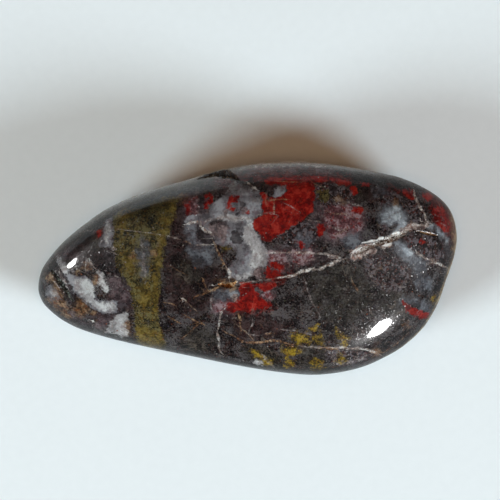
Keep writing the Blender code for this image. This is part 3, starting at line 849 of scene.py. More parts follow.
# Soft lamps: direction round the stone from +X, height over the paper, both in degrees, and the light of each
LAMPS = {
    "right_lamp": (-31.0, 29.6, (0.358, 0.432, 0.474)), "left_lamp": (211.0, 29.6, (0.326, 0.402, 0.435)),
    "overhead_lamp": (0.0, 90.0, (0.14, 0.095, 0.055)),
}
# The lamps' bright faces as the polish mirrors them: the middle and two edges of each glint, in dots
GLINTS = {
    "right_face": ((378.8, 328.4), (390.2, 319.0), (382.4, 331.8)),
    "left_face": ((71.0, 264.4), (76.8, 259.2), (72.8, 266.2)),
}
FACE_BRIGHTNESS = 80.0
ROOM_LIGHT = (0.055, 0.036, 0.026)
CAMERA_HEIGHT = 0.5
SENSOR_WIDTH = 36.0
WIDEST_LEVEL = 5.2  # height of the widest line that the picture is scaled by

low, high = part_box("pebble")
LENGTH, WIDTH, HEIGHT = (side / MM for side in high - low)
SIZE = np.array([LENGTH, WIDTH, HEIGHT])


# Form of the stone


def smooth_round(values, place):
    """Value at place in a ring of values, along a smooth curve through them."""
    ring = np.asarray(values, float)
    first = np.floor(place).astype(int)
    t = (place - first)[..., None] if ring.ndim > 1 else place - first
    a, b, c, d = (ring[(first + step) % len(ring)] for step in (-1, 0, 1, 2))
    return b + 0.5 * t * (c - a + t * (2 * a - 5 * b + 4 * c - d + t * (3 * (b - c) + d - a)))


def smooth_line(points, closed):
    """A drawn line with more points between its own, bent smoothly through them."""
    points = np.asarray(points, float)
    if closed:
        return smooth_round(points, np.arange(0, len(points), 1 / DRAWN_STEPS))
    longer = np.vstack([2 * points[0] - points[1], points, 2 * points[-1] - points[-2]])
    return smooth_round(longer, 1 + np.arange((len(points) - 1) * DRAWN_STEPS + 1) / DRAWN_STEPS)


def outline_ring():
    """The outline as distances from the crown line, in order of their angle round it."""
    drawn_line = smooth_round(OUTLINE, np.arange(0, len(OUTLINE), 1 / CURVE_STEPS))
    least, most = drawn_line.min(0), drawn_line.max(0)
    fitted = (drawn_line - (least + most) / 2) * np.array([LENGTH, WIDTH]) / (most - least) - np.array(CROWN)
    angle = np.arctan2(fitted[:, 1], fitted[:, 0])
    order = np.argsort(angle)
    return angle[order], np.hypot(fitted[:, 0], fitted[:, 1])[order]


def swell(x, y):
    return sum(size * np.sin(along * x + across * y + start) for size, along, across, start in SWELLS)


RING_ANGLE, RING_RADIUS = outline_ring()
CROWN_SWELL = swell(*CROWN)


def from_crown(x, y):
    """Angle round the crown line, share of the way to the widest line, and distance left to it."""
    dx, dy = x - CROWN[0], y - CROWN[1]
    angle = np.arctan2(dy, dx)
    radius = np.interp(angle, RING_ANGLE, RING_RADIUS, period=2 * math.pi)
    reach = np.hypot(dx, dy)
    return angle, np.minimum(reach / radius, 1.0), np.maximum(radius - reach, 0.0)


def by_section(values, angle):
    return smooth_round(values, np.degrees(angle) % 360 / SECTION_STEP)


def top_height(x, y):
    """Height of the stone's upper surface over a point of the plan."""
    angle, share, left = from_crown(x, y)
    rim = by_section(RIM_HEIGHT, angle)
    lean = LEAN * y * np.maximum(LEAN_FROM - x, 0.0) * share
    dome = HEIGHT - by_section(SHED, angle) * share**SHED_POWER + lean
    inward = np.minimum(left / (by_section(EDGE, angle) * EDGE_START), 1.0)
    rounding = (1 - (1 - inward) ** EDGE_EASE) ** (1 / EDGE_POWER)
    return rim + (dome - rim) * rounding + (swell(x, y) - CROWN_SWELL) * (1 - share**2)


def under_height(x, y):
    """Height of the stone's underside over a point of the plan, with its worn flat spot at 0."""
    angle, share, _ = from_crown(x, y)
    rim, belly = by_section(RIM_HEIGHT, angle), by_section(BELLY, angle)
    return np.maximum(rim - (rim + REST_DEPTH) * (1 - share**belly) ** (1 / belly), 0.0)


def stone_point(block):
    """Points of the stone's surface, seen from its middle in the directions of a block's points."""
    direction = block - np.array([*CROWN, 0.0])
    direction /= np.linalg.norm(direction, axis=1)[:, None]
    near, far = np.zeros(len(block)), np.full(len(block), LENGTH)
    for _ in range(HALVINGS):
        reach = (near + far) / 2
        x, y, z = (np.array([*CROWN, MIDDLE]) + reach[:, None] * direction).T
        inside = (from_crown(x, y)[1] < 1) & (z < top_height(x, y)) & (z > under_height(x, y))
        near, far = np.where(inside, reach, near), np.where(inside, far, reach)
    return np.stack([x, y, z], 1)


def top_normal(x, y):
    """The way the upper surface faces over a point of the plan."""
    slope_x = (top_height(x + SLOPE_STEP, y) - top_height(x - SLOPE_STEP, y)) / (2 * SLOPE_STEP)
    slope_y = (top_height(x, y + SLOPE_STEP) - top_height(x, y - SLOPE_STEP)) / (2 * SLOPE_STEP)
    return Vector((-slope_x, -slope_y, 1.0)).normalized()


def block_lattice():
    """Points and four-cornered faces of the gridded skin of a block as large as the stone."""
    pieces = np.round(SIZE / CELL).astype(int)
    near_ring, far_ring = ((0, 0), (0, 1), (1, 1), (1, 0)), ((0, 0), (1, 0), (1, 1), (0, 1))
    sides = []
    for axis in range(3):
        u, v = (axis + 1) % 3, (axis + 2) % 3
        cells = np.meshgrid(np.arange(pieces[u]), np.arange(pieces[v]), indexing="ij")
        i, j = (cell.ravel() for cell in cells)
        for end, ring in ((0, near_ring), (pieces[axis], far_ring)):
            quads = np.zeros((len(i), 4, 3), int)
            quads[:, :, axis] = end
            for corner, (step_u, step_v) in enumerate(ring):
                quads[:, corner, u] = i + step_u
                quads[:, corner, v] = j + step_v
            sides.append(quads)
    corners, faces = np.unique(np.concatenate(sides).reshape(-1, 3), axis=0, return_inverse=True)
    return (corners / pieces - 0.5) * SIZE, faces.reshape(-1, 4)


# Distances to what is drawn


def drawn(dots):
    """Places in the stone's plan of points given in dots of the picture."""
    middle = np.array(PICTURE_MIDDLE)
    dots = (np.asarray(dots, float) - middle) / NEARNESS + middle
    return np.stack([dots[..., 0] - PLAN_MIDDLE[0], PLAN_MIDDLE[1] - dots[..., 1]], -1) * DOT


def near_line(line, place, reach):
    return np.flatnonzero(((place > line.min(0) - reach) & (place < line.max(0) + reach)).all(1))


def inside_distance(outline, place):
    """Distance from each place to a closed outline, positive inside it."""
    run = np.roll(outline, -1, 0) - outline
    away = place[:, None] - outline
    share = np.clip((away * run).sum(2) / (run**2).sum(1), 0, 1)
    distance = np.linalg.norm(away - share[..., None] * run, axis=2).min(1)
    above = away[:, :, 1] < 0
    rise = np.where(run[:, 1] == 0, 1.0, run[:, 1])
    crossing = (above != np.roll(above, -1, 1)) & (away[:, :, 0] < away[:, :, 1] * run[:, 0] / rise)
    return np.where(crossing.sum(1) % 2 == 1, distance, -distance)


def line_distance(line, place):
    """Distance from each place to an open line, signed by its side, and the share of the line before it."""
    run = np.diff(line, axis=0)
    length = np.linalg.norm(run, axis=1)
    away = place[:, None] - line[:-1]
    share = np.clip((away * run).sum(2) / length**2, 0, 1)
    gap = away - share[..., None] * run
    nearest = np.linalg.norm(gap, axis=2).argmin(1)
    row = np.arange(len(place))
    gap, share, run = gap[row, nearest], share[row, nearest], run[nearest]
    side = np.where(run[:, 0] * gap[:, 1] < run[:, 1] * gap[:, 0], -1.0, 1.0)
    before = np.cumsum(length) - length
    return side * np.linalg.norm(gap, axis=1), (before[nearest] + share * length[nearest]) / length.sum()


def in_drawing(points, lie):
    """Where the stone's points are in the drawing, for a mineral with that lie, and how deep they are.

    On the top that is their own place in the plan. Lower down it is drawn in towards the middle of the
    sections, and moved as the mineral leans.
    """
    x, y, z = points.T
    depth = np.maximum(top_height(x, y) - z, 0.0)
    plan = np.array(CROWN) + (points[:, :2] - np.array(CROWN)) * (1 - DRAWN_IN * depth)[:, None]
    return plan + depth[:, None] * np.array(lie[:2]), depth


def patch_field(name, points):
    """How far each point is inside a mineral's patches, in millimetres."""
    place, depth = in_drawing(points, LIE[name])
    from_above = (PATCHES[name], place, LIE[name][2] - depth)
    from_below = (UNDERSIDE.get(name, ()), points[:, :2], UNDERSIDE_LEVEL - points[:, 2])
    field = np.full(len(points), -PATCH_REACH)
    for outlines, place, thickness in (from_above, from_below):
        for outline in outlines:
            outline = drawn(smooth_line(outline, closed=True))
            near = near_line(outline, place, PATCH_REACH)
            inside = np.minimum(inside_distance(outline, place[near]), thickness[near] * THINNING)
            field[near] = np.maximum(field[near], inside)
    return field


def vein_field(name, points):
    """For each point the signed distance across the nearest vein, in half-widths, and its strength."""
    place, depth = in_drawing(points, VEIN_LIE)
    field = np.zeros((len(points), 3))
    field[:, 0] = VEIN_FAR
    for half_width, strength, dots in VEINS[name]:
        line = drawn(smooth_line(dots, closed=False))
        near = near_line(line, place, VEIN_REACH)
        distance, along = line_distance(line, place[near])
        taper = np.minimum(1.0, END_WIDTH + (1 - END_WIDTH) * np.minimum(along, 1 - along) / END_SHARE)
        across = distance / (half_width * DOT * taper)
        closer = np.abs(across) < np.abs(field[near, 0])
        fade = np.clip((VEIN_REACH - np.abs(distance)) / VEIN_SIDE_FADE, 0, 1)
        fade = fade * np.clip((VEIN_LIE[2] - depth[near]) / VEIN_END_FADE, 0, 1)
        near, across, fade = near[closer], across[closer], fade[closer]
        field[near, 0], field[near, 1] = across, strength * fade
    return field


# Painted light in part: the clouds are the stone's own tone, apart from those on the top rim, which are
# painted reflection
def clouds_and_rim_sheen_field(points):
    place, _ = in_drawing(points, VEIN_LIE)
    field = np.zeros(len(points))
    for x, y, radius, amount in CLOUDS_AND_RIM_SHEEN:
        distance = np.linalg.norm(place - drawn((x, y)), axis=1) / (radius * DOT)
        field += amount * np.exp(-distance**2)
    return field


def add_values(mesh, name, values):
    """Keeps a number or three for each point of a mesh, for its material to read."""
    kind, key = ("FLOAT", "value") if values.ndim == 1 else ("FLOAT_VECTOR", "vector")
    mesh.attributes.new(name, kind, "POINT").data.foreach_set(key, values.astype(np.float32).ravel())


# The stone


def crack_near(stations, points):
    """The points by a crack, and their distance from its line, its half-width and its depth there."""
    line = smooth_line(stations, closed=False)
    place, below = points[:, :2], top_height(points[:, 0], points[:, 1]) - points[:, 2]
    near = near_line(line[:, :2], place, FINE_MARGIN + max(line[:, 2]))
    near = near[below[near] < TOP_SKIN]
    distance, along = line_distance(line[:, :2], place[near])
    step = np.linalg.norm(np.diff(line[:, :2], axis=0), axis=1)
    stops = np.concatenate([[0], np.cumsum(step)]) / step.sum()
    width, depth = (np.interp(along, stops, column) for column in line[:, 2:].T)
    return near, np.abs(distance), width / 2, depth


def finer_block():
    """The block's skin, with a finer grid where the cracks come."""
    block, faces = block_lattice()
    centres = stone_point(block)[faces].mean(1)
    wanted = np.zeros(len(faces), bool)
    for stations in CRACKS.values():
        near, distance, half_width, _ = crack_near(stations, centres)
        wanted[near[distance < half_width + FINE_MARGIN]] = True
    mesh = bpy.data.meshes.new("polished_pebble")
    mesh.from_pydata(block.tolist(), [], faces.tolist())
    bm = bmesh.new()
    bm.from_mesh(mesh)
    bm.faces.ensure_lookup_table()
    bm.edges.ensure_lookup_table()
    sides = sorted({side.index for face in np.flatnonzero(wanted) for side in bm.faces[face].edges})
    bmesh.ops.subdivide_edges(bm, edges=[bm.edges[i] for i in sides], cuts=FINE_CUTS, use_grid_fill=True)
    bm.to_mesh(mesh)
    bm.free()
    return mesh


def mesh_points(mesh, key="co"):
    values = np.empty(len(mesh.vertices) * 3, np.float32)
    mesh.vertices.foreach_get(key, values)
    return values.reshape(-1, 3).astype(float)


def jag(point, scale, seed):
    return noise.noise(Vector(point) * scale + Vector((seed, seed, seed)))


def unevenness(points, waves):
    """A share for each point that wanders round 1 in waves of the given size, fineness and seed."""
    return np.array([
        1 + sum(size * jag(point, fineness, seed) for size, fineness, seed in waves) for point in points
    ])


def open_cracks(points, normals):
    """Sinks the cracks and pits into the surface with ragged walls.

    Returns the points, how far inside a crack each one is, and what its walls are like.
    """
    sunk = np.zeros(len(points))
    hollow = np.full(len(points), -1.0)
    walls = np.zeros((len(points), 3))
    for name, stations in CRACKS.items():
        near, distance, half_width, depth = crack_near(stations, points)
        share = distance / (half_width * unevenness(points[near], RAGGED_SIDES))
        floor = depth * unevenness(points[near], UNEVEN_FLOORS)
        wall = np.clip(1 - share**WALL_STEEPNESS, 0, 1) ** WALL_ROUNDNESS
        sunk[near] = np.maximum(sunk[near], floor * wall)
        hollow[near] = np.maximum(hollow[near], 1 - share)
        walls[near, :2] = WALLS[name]
    return points - normals * sunk[:, None], hollow, walls


def side_of(places):
    """Which side of the block each place is on, as its axis and whether it is the far end of that axis."""
    share = places / (SIZE / 2)
    axis = np.abs(share).argmax(1)
    return axis, share[np.arange(len(places)), axis] > 0


def lay_out(mesh, block):
    """A flat layout of the block's six sides, so that a picture of the finish can be laid on the stone."""
    sheet = mesh.uv_layers.new(name="OFBake")
    corners = np.empty(len(mesh.loops), np.int32)
    mesh.loops.foreach_get("vertex_index", corners)
    count = np.empty(len(mesh.polygons), np.int32)
    mesh.polygons.foreach_get("loop_total", count)
    face = np.repeat(np.arange(len(count)), count)
    centres = np.stack([np.bincount(face, block[corners, i]) for i in range(3)], 1) / count[:, None]
    axis, far_end = side_of(centres)
    place = block[corners] + SIZE / 2
    flat = np.zeros((len(corners), 2))
    for (side_axis, end), (u, v, left, bottom) in SHEET.items():
        here = (axis[face] == side_axis) & (far_end[face] == end)
        flat[here] = place[here][:, (u, v)] + np.array([left, bottom])
    sheet.data.foreach_set("uv", (flat / SHEET_SIDE).astype(np.float32).ravel())


def turned(normals, flat, steep):
    """How far a surface has turned down from one slope to another, 0 to 1, smoothly."""
    share = np.clip((flat - normals[:, 2]) / (flat - steep), 0, 1)
    return share * share * (3 - 2 * share)


def polish_field(points, normals):
    """Share of the polish left at each point: full on top, less on the turned-down edge and below it."""
    angle, _, _ = from_crown(points[:, 0], points[:, 1])
    on_edge = turned(normals, EDGE_FLAT, EDGE_STEEP)
    on_rim = turned(normals, RIM_FLAT, RIM_STEEP)
    polish = 1 + (by_section(EDGE_POLISH, angle) - 1) * on_edge
    return polish + (by_section(RIM_POLISH, angle) - polish) * on_rim


def painted_edge_shade(points, normals):
    """Painted shade: how much darker each point on the turned-down edge is painted."""
    angle, _, _ = from_crown(points[:, 0], points[:, 1])
    return by_section(PAINTED_EDGE_SHADE, angle) * turned(normals, EDGE_STEEP, RIM_FLAT)


def sheen_fringe_field(points):
    """How far each point is inside the pale painted fringe along the widest line, in millimetres."""
    angle, _, _ = from_crown(points[:, 0], points[:, 1])
    from_rim = np.abs(points[:, 2] - by_section(RIM_HEIGHT, angle))
    return by_section(SHEEN_FRINGE, angle) - from_rim * SHEEN_FRINGE_THINNING


def make_pebble():
    """The polished stone, with a value at each of its points for every mineral, vein, finish and painted
    light.
    """
    mesh = finer_block()
    block = mesh_points(mesh)
    surface = stone_point(block)
    mesh.vertices.foreach_set("co", surface.ravel())
    mesh.update()
    normals = mesh_points(mesh, "normal")
    points, hollow, walls = open_cracks(surface, normals)
    lay_out(mesh, block)
    for name in PATCHES:
        add_values(mesh, name, patch_field(name, surface))
    for name in VEINS:
        add_values(mesh, name, vein_field(name, surface))
    add_values(mesh, "hollow", hollow)
    add_values(mesh, "walls", walls)
    # Where the painted reflection fringe lies along the widest line
    add_values(mesh, "painted_sheen_fringe", sheen_fringe_field(surface))
    add_values(mesh, "polish", polish_field(surface, normals))
    # The clouds with their painted rim reflection, less the painted shade of the turned edge
    add_values(mesh, "clouds_and_painted_light", clouds_and_rim_sheen_field(surface) - painted_edge_shade(surface, normals))
    mesh.vertices.foreach_set("co", (points * MM).ravel())
    mesh.shade_smooth()
    mesh.update()
    return add_object("polished_pebble", mesh)


def add_object(name, mesh):
    obj = bpy.data.objects.new(name, mesh)
    bpy.context.scene.collection.objects.link(obj)
    return obj


# Nodes


class Tree:
    """A node tree, with short ways to add nodes and to join them."""

    def __init__(self, tree):
        self.tree = tree

    def join(self, value, socket):
        if isinstance(value, bpy.types.NodeSocket):
            self.tree.links.new(value, socket)
        else:
            socket.default_value = value

    def add(self, kind, inputs=None, **settings):
        node = self.tree.nodes.new(kind)
        for name, value in settings.items():
            setattr(node, name, value)
        for key, value in (inputs or {}).items():
            self.join(value, node.inputs[key])
        return node

    def math(self, operation, *values):
        return self.add("ShaderNodeMath", dict(enumerate(values)), operation=operation).outputs[0]

    def rise(self, value, start, end, low=0.0, high=1.0):
        """A smooth rise from low to high as the value goes from start to end."""
        inputs = {"Value": value, "From Min": start, "From Max": end, "To Min": low, "To Max": high}
        return self.add("ShaderNodeMapRange", inputs, interpolation_type="SMOOTHSTEP").outputs["Result"]

    def between(self, share, low, high):
        """The value that share of the way from low to high."""
        return self.math("MULTIPLY_ADD", share, high - low, low)

    def mix(self, share, under, over):
        return self.add("ShaderNodeMix", {0: share, 2: under, 3: over}).outputs[0]

    def blend(self, share, under, over):
        """A colour with that share of another one over it."""
        return self.add("ShaderNodeMix", {0: share, 6: under, 7: over}, data_type="RGBA").outputs[2]

    def grain(self, vector, scale, detail=2.0, roughness=0.5, distortion=0.0):
        return self.add("ShaderNodeTexNoise", {
            "Vector": vector, "Scale": scale, "Detail": detail, "Roughness": roughness,
            "Distortion": distortion,
        }).outputs["Fac"]

    def wander(self, vector, scale, **shape):
        """A grain that goes up and down round 0."""
        return self.math("SUBTRACT", self.grain(vector, scale, **shape), 0.5)

    def crystals(self, vector, scale):
        """Separate grains: how far the place is from the middle of its own, and that grain's two lots."""
        cells = self.add("ShaderNodeTexVoronoi", {"Vector": vector, "Scale": scale}).outputs
        lots = self.add("ShaderNodeSeparateColor", {0: cells["Color"]}).outputs
        return cells["Distance"], lots[0], lots[1]

    def bump(self, height, relief, strength=1.0):
        inputs = {"Strength": strength, "Distance": relief * MM, "Height": height}
        return self.add("ShaderNodeBump", inputs).outputs["Normal"]

    def moved(self, vector, step):
        return self.add("ShaderNodeVectorMath", {0: vector, 1: step}, operation="ADD").outputs[0]

    def value_of(self, name):
        return self.add("ShaderNodeAttribute", attribute_name=name, attribute_type="GEOMETRY").outputs

    def use(self, group, inputs):
        node = self.add("ShaderNodeGroup", node_tree=group)
        for key, value in inputs.items():
            self.join(value, node.inputs[key])
        return node.outputs[0]


def new_group(name, kind, inputs, outputs):
    """An empty node group with the given sockets, and its input and output sockets from inside."""
    group = bpy.data.node_groups.new(name, kind)
    for label, (socket_kind, value) in inputs.items():
        socket = group.interface.new_socket(label, in_out="INPUT", socket_type="NodeSocket" + socket_kind)
        if value is not None:
            socket.default_value = value
    for label, socket_kind in outputs.items():
        group.interface.new_socket(label, in_out="OUTPUT", socket_type="NodeSocket" + socket_kind)
    tree = Tree(group)
    return group, tree, tree.add("NodeGroupInput").outputs, tree.add("NodeGroupOutput").inputs


def mottle_group():
    """Tones that wander between dark, middle and light, with a second hue in places.

    They wander in coarse clouds and fine grain, and from one crystal to the next.
    """
    group, tree, given, out = new_group("mottled_tones", "ShaderNodeTree", {
        "Place": ("Vector", None), "Clouds": ("Float", 1.0), "Grains": ("Float", 6.0),
        "Grain share": ("Float", 0.5), "Contrast": ("Float", 1.0), "Dark": ("Color", None),
        "Middle": ("Color", None), "Light": ("Color", None), "Tint": ("Color", None),
        "Tint share": ("Float", 0.5),
    }, {"Color": "Color"})
    place = given["Place"]
    clouds = tree.grain(place, given["Clouds"], detail=3.0)
    fine = tree.grain(place, given["Grains"], roughness=0.6)
    _, lot, hue_lot = tree.crystals(place, given["Grains"])
    crystal = tree.between(lot, *CRYSTAL_LEVELS)
    rest = tree.math("MULTIPLY", fine, 1 - CRYSTAL_SHARE)
    grains = tree.math("MULTIPLY_ADD", crystal, CRYSTAL_SHARE, rest)
    both = tree.mix(given["Grain share"], clouds, grains)
    off_middle = tree.math("SUBTRACT", both, MIDDLE_LEVEL)
    level = tree.math("MULTIPLY_ADD", off_middle, given["Contrast"], MIDDLE_LEVEL)
    hue_place = tree.moved(place, HUE_SHIFT)
    hue = tree.grain(hue_place, tree.math("MULTIPLY", given["Clouds"], HUE_FINENESS), detail=3.0)
    hue = tree.math("ADD", hue, tree.between(hue_lot, *HUE_STEPS))
    limit = tree.between(given["Tint share"], *HUE_LIMITS)
    tinted = tree.rise(hue, limit, tree.math("ADD", limit, HUE_BLUR))
    middle = tree.blend(tinted, given["Middle"], given["Tint"])
    lower = tree.blend(tree.rise(level, MIDDLE_LEVEL, DARK_LEVEL), middle, given["Dark"])
    tree.join(tree.blend(tree.rise(level, MIDDLE_LEVEL, LIGHT_LEVEL), lower, given["Light"]), out["Color"])
    return group


def patch_group():
    """Where a mineral's patch shows: inside its drawn outline, with a ragged, more or less sharp edge."""
    group, tree, given, out = new_group("ragged_patch", "ShaderNodeTree", {
        "Place": ("Vector", None), "Inside": ("Float", 0.0), "Raggedness": ("Float", 0.2),
        "Teeth": ("Float", 3.0), "Softness": ("Float", 0.05), "Strength": ("Float", 1.0),
    }, {"Share": "Float"})
    teeth = tree.wander(given["Place"], given["Teeth"], detail=4.0, roughness=0.65)
    inside = tree.math("MULTIPLY_ADD", teeth, given["Raggedness"], given["Inside"])
    share = tree.rise(inside, tree.math("MULTIPLY", given["Softness"], -1.0), given["Softness"])
    tree.join(tree.math("MULTIPLY", share, given["Strength"]), out["Share"])
    return group


def vein_group():
    """Where a drawn vein shows: it wanders a little, swells and thins, and breaks into grains."""
    group, tree, given, out = new_group("broken_vein", "ShaderNodeTree", {
        "Place": ("Vector", None), "Line": ("Vector", None), "Wander": ("Float", 1.5),
        "Swelling": ("Float", 1.0), "Breaks": ("Float", 0.5), "Softness": ("Float", 0.5),
    }, {"Share": "Float"})
    place = given["Place"]
    across, strength, _ = tree.add("ShaderNodeSeparateXYZ", {0: given["Line"]}).outputs
    bend = tree.wander(place, BEND_FINENESS, detail=4.0, roughness=0.6)
    bend_reach = tree.math("MULTIPLY", given["Wander"], BEND_REACH)
    across = tree.math("ABSOLUTE", tree.math("MULTIPLY_ADD", bend, bend_reach, across))
    swelling = tree.wander(tree.moved(place, SWELLING_SHIFT), SWELLING_FINENESS, detail=3.0)
    swelling_reach = tree.math("MULTIPLY", given["Swelling"], SWELLING_REACH)
    past = tree.math("SUBTRACT", across, tree.math("MULTIPLY_ADD", swelling, swelling_reach, 1.0))
    shape = tree.rise(past, given["Softness"], tree.math("MULTIPLY", given["Softness"], -1.0))
    grains = tree.rise(tree.grain(place, BREAK_FINENESS, roughness=0.6), *BREAK_LEVELS)
    kept = tree.math("MULTIPLY_ADD", given["Breaks"], tree.math("SUBTRACT", grains, 1.0), 1.0)
    tree.join(tree.math("MULTIPLY", tree.math("MULTIPLY", shape, kept), strength), out["Share"])
    return group


def fleck_nodes(tree, place, scale, share, size):
    """Small separate flecks of uneven shape."""
    pull = tree.add("ShaderNodeTexNoise", {"Vector": place, "Scale": PULL_FINENESS}).outputs["Color"]
    pulled = tree.add("ShaderNodeVectorMath", {0: pull, 1: PULL, 2: place}, operation="MULTIPLY_ADD")
    distance, lot, size_lot = tree.crystals(pulled.outputs[0], scale)
    picked = tree.math("LESS_THAN", lot, share)
    own_size = tree.math("MULTIPLY", tree.between(size_lot, *FLECK_SIZES), size)
    spot = tree.rise(distance, own_size, tree.math("MULTIPLY", own_size, FLECK_CORE))
    return tree.math("MULTIPLY", picked, spot)


def fleck_group():
    group, tree, given, out = new_group("flecks", "ShaderNodeTree", {
        "Place": ("Vector", None), "Scale": ("Float", 4.0), "Share": ("Float", 0.1), "Size": ("Float", 0.3),
    }, {"Share": "Float"})
    flecks = fleck_nodes(tree, given["Place"], given["Scale"], given["Share"], given["Size"])
    tree.join(flecks, out["Share"])
    return group


def crescent_group():
    """Small bright crescents, where the rims of round grains show."""
    group, tree, given, out = new_group("crescents", "ShaderNodeTree", {
        "Place": ("Vector", None), "Scale": ("Float", 3.0), "Size": ("Float", 0.3), "Width": ("Float", 0.1),
        "Share": ("Float", 0.5),
    }, {"Share": "Float"})
    distance, lot, size_lot = tree.crystals(given["Place"], given["Scale"])
    size = tree.math("MULTIPLY", given["Size"], tree.between(size_lot, *CRESCENT_SIZES))
    away = tree.math("ABSOLUTE", tree.math("SUBTRACT", distance, size))
    open_side = tree.rise(tree.grain(given["Place"], CRESCENT_GAP_FINENESS), *CRESCENT_GAPS)
    ring = tree.math("MULTIPLY", tree.rise(away, given["Width"], 0.0), open_side)
    tree.join(tree.math("MULTIPLY", ring, tree.math("LESS_THAN", lot, given["Share"])), out["Share"])
    return group


def hairline_group():
    """Thin healed cracks that wander through the stone and come and go."""
    group, tree, given, out = new_group("hairlines", "ShaderNodeTree", {
        "Place": ("Vector", None), "Scale": ("Float", 0.6), "Width": ("Float", 0.02), "Share": ("Float", 0.5),
    }, {"Share": "Float"})
    place = given["Place"]
    level = tree.wander(place, given["Scale"], detail=3.0, roughness=0.55, distortion=0.6)
    line = tree.rise(tree.math("ABSOLUTE", level), given["Width"], 0.0)
    gap_place = tree.moved(place, HAIRLINE_SHIFT)
    there = tree.grain(gap_place, tree.math("MULTIPLY", given["Scale"], HAIRLINE_GAP_FINENESS), detail=1.0)
    fewer = tree.math("SUBTRACT", 1.0, given["Share"])
    kept = tree.rise(there, tree.between(fewer, *HAIRLINE_STARTS), tree.between(fewer, *HAIRLINE_ENDS))
    tree.join(tree.math("MULTIPLY", line, kept), out["Share"])
    return group


def new_material(name, gloss):
    """A material with that gloss, its tree, its shader, and the place on the piece in millimetres."""
    material = bpy.data.materials.new(name)
    material.use_nodes = True
    tree = Tree(material.node_tree)
    shader = material.node_tree.nodes["Principled BSDF"]
    for label, value in gloss.items():
        shader.inputs[label].default_value = value
    coordinates = tree.add("ShaderNodeTexCoord").outputs["Object"]
    place = tree.add("ShaderNodeVectorMath", {0: coordinates, "Scale": 1 / MM}, operation="SCALE").outputs[0]
    return material, tree, shader, place


def flecked(tree, groups, place, colour, flecks):
    """A colour with flecks of each kind over it."""
    for scale, share, size, fleck_tone in flecks:
        spots = tree.use(groups["fleck"], {"Place": place, "Scale": scale, "Share": share, "Size": size})
        colour = tree.blend(spots, colour, fleck_tone)
    return colour


def patched(tree, groups, place, colour, mineral, field, rim):
    """A colour with a mineral over it, inside the outlines that the field was measured from."""
    inside = tree.value_of(field)["Fac"]
    share = tree.use(groups["patch"], {"Place": place, "Inside": inside, **rim})
    return tree.blend(share, colour, mineral)


def with_minerals(tree, groups, place, colour, crescents):
    for name, (mineral_tones, rim) in MINERALS.items():
        own_place = tree.moved(place, MINERAL_SHIFT[name])
        mineral = tree.use(groups["mottle"], {"Place": own_place, **mineral_tones})
        mineral = flecked(tree, groups, own_place, mineral, MINERAL_FLECKS.get(name, ()))
        if name == "granular":
            shown = tree.math("MULTIPLY", crescents, CRESCENTS_IN_GRAINS)
            mineral = tree.blend(shown, mineral, CRESCENT_TONE)
        colour = patched(tree, groups, own_place, colour, mineral, name, rim)
    return colour


def with_hairlines(tree, groups, place, colour):
    for scale, width, share, strength, line_tone in HAIRLINES:
        lines = tree.use(groups["hairline"], {"Place": place, "Scale": scale, "Width": width, "Share": share})
        colour = tree.blend(tree.math("MULTIPLY", lines, strength), colour, line_tone)
    return colour


def with_walls(tree, groups, place, colour, inside):
    """The tones of the cracks' walls, dark, rusty or drusy as each crack is."""
    rusty, drusy, _ = tree.add("ShaderNodeSeparateXYZ", {0: tree.value_of("walls")["Vector"]}).outputs
    covered = tree.math("MULTIPLY", inside, tree.between(drusy, 1.0, DRUSE_COVER))
    walls = tree.use(groups["mottle"], {"Place": place, **DARK_WALLS})
    walls = tree.blend(rusty, walls, tree.use(groups["mottle"], {"Place": place, **RUSTY_WALLS}))
    walls = tree.blend(drusy, walls, tree.use(groups["mottle"], {"Place": place, **DRUSE_WALLS}))
    return tree.blend(covered, colour, walls)


def with_veins(tree, groups, place, colour):
    for name, (vein_tones, way) in VEIN_TONES.items():
        vein = tree.use(groups["mottle"], {"Place": place, **vein_tones})
        line = tree.value_of(name)["Vector"]
        share = tree.use(groups["vein"], {"Place": place, "Line": line, **way})
        colour = tree.blend(share, colour, vein)
    return colour


def stone_colour(tree, groups, place):
    """The colour of the stone with its painted light and shade, and how far it is inside a crack."""
    colour = tree.use(groups["mottle"], {"Place": place, **GROUND})
    colour = flecked(tree, groups, place, colour, GROUND_FLECKS)
    crescents = tree.use(groups["crescent"], {"Place": place, **CRESCENTS})
    colour = tree.blend(tree.math("MULTIPLY", crescents, CRESCENTS_IN_GROUND), colour, CRESCENT_TONE)
    colour = with_minerals(tree, groups, place, colour, crescents)
    colour = flecked(tree, groups, tree.moved(place, FLECK_SHIFT), colour, FLECKS)
    # Painted reflection: the pale fringe along the widest line
    painted_sheen_fringe = tree.use(groups["mottle"], {"Place": place, **SHEEN_FRINGE_TONES})
    colour = patched(tree, groups, place, colour, painted_sheen_fringe, "painted_sheen_fringe", SHEEN_FRINGE_EDGE)
    colour = with_hairlines(tree, groups, place, colour)
    inside = tree.rise(tree.value_of("hollow")["Fac"], *HOLLOW_LEVELS)
    colour = with_walls(tree, groups, place, colour, inside)
    colour = with_veins(tree, groups, place, colour)
    # Painted light and shade: the colour is scaled by the clouds, their painted rim reflection and the
    # painted edge shade
    brightness = tree.math("ADD", tree.value_of("clouds_and_painted_light")["Fac"], 1.0)
    lit = tree.add("ShaderNodeVectorMath", {0: colour, "Scale": brightness}, operation="SCALE").outputs[0]
    return lit, inside


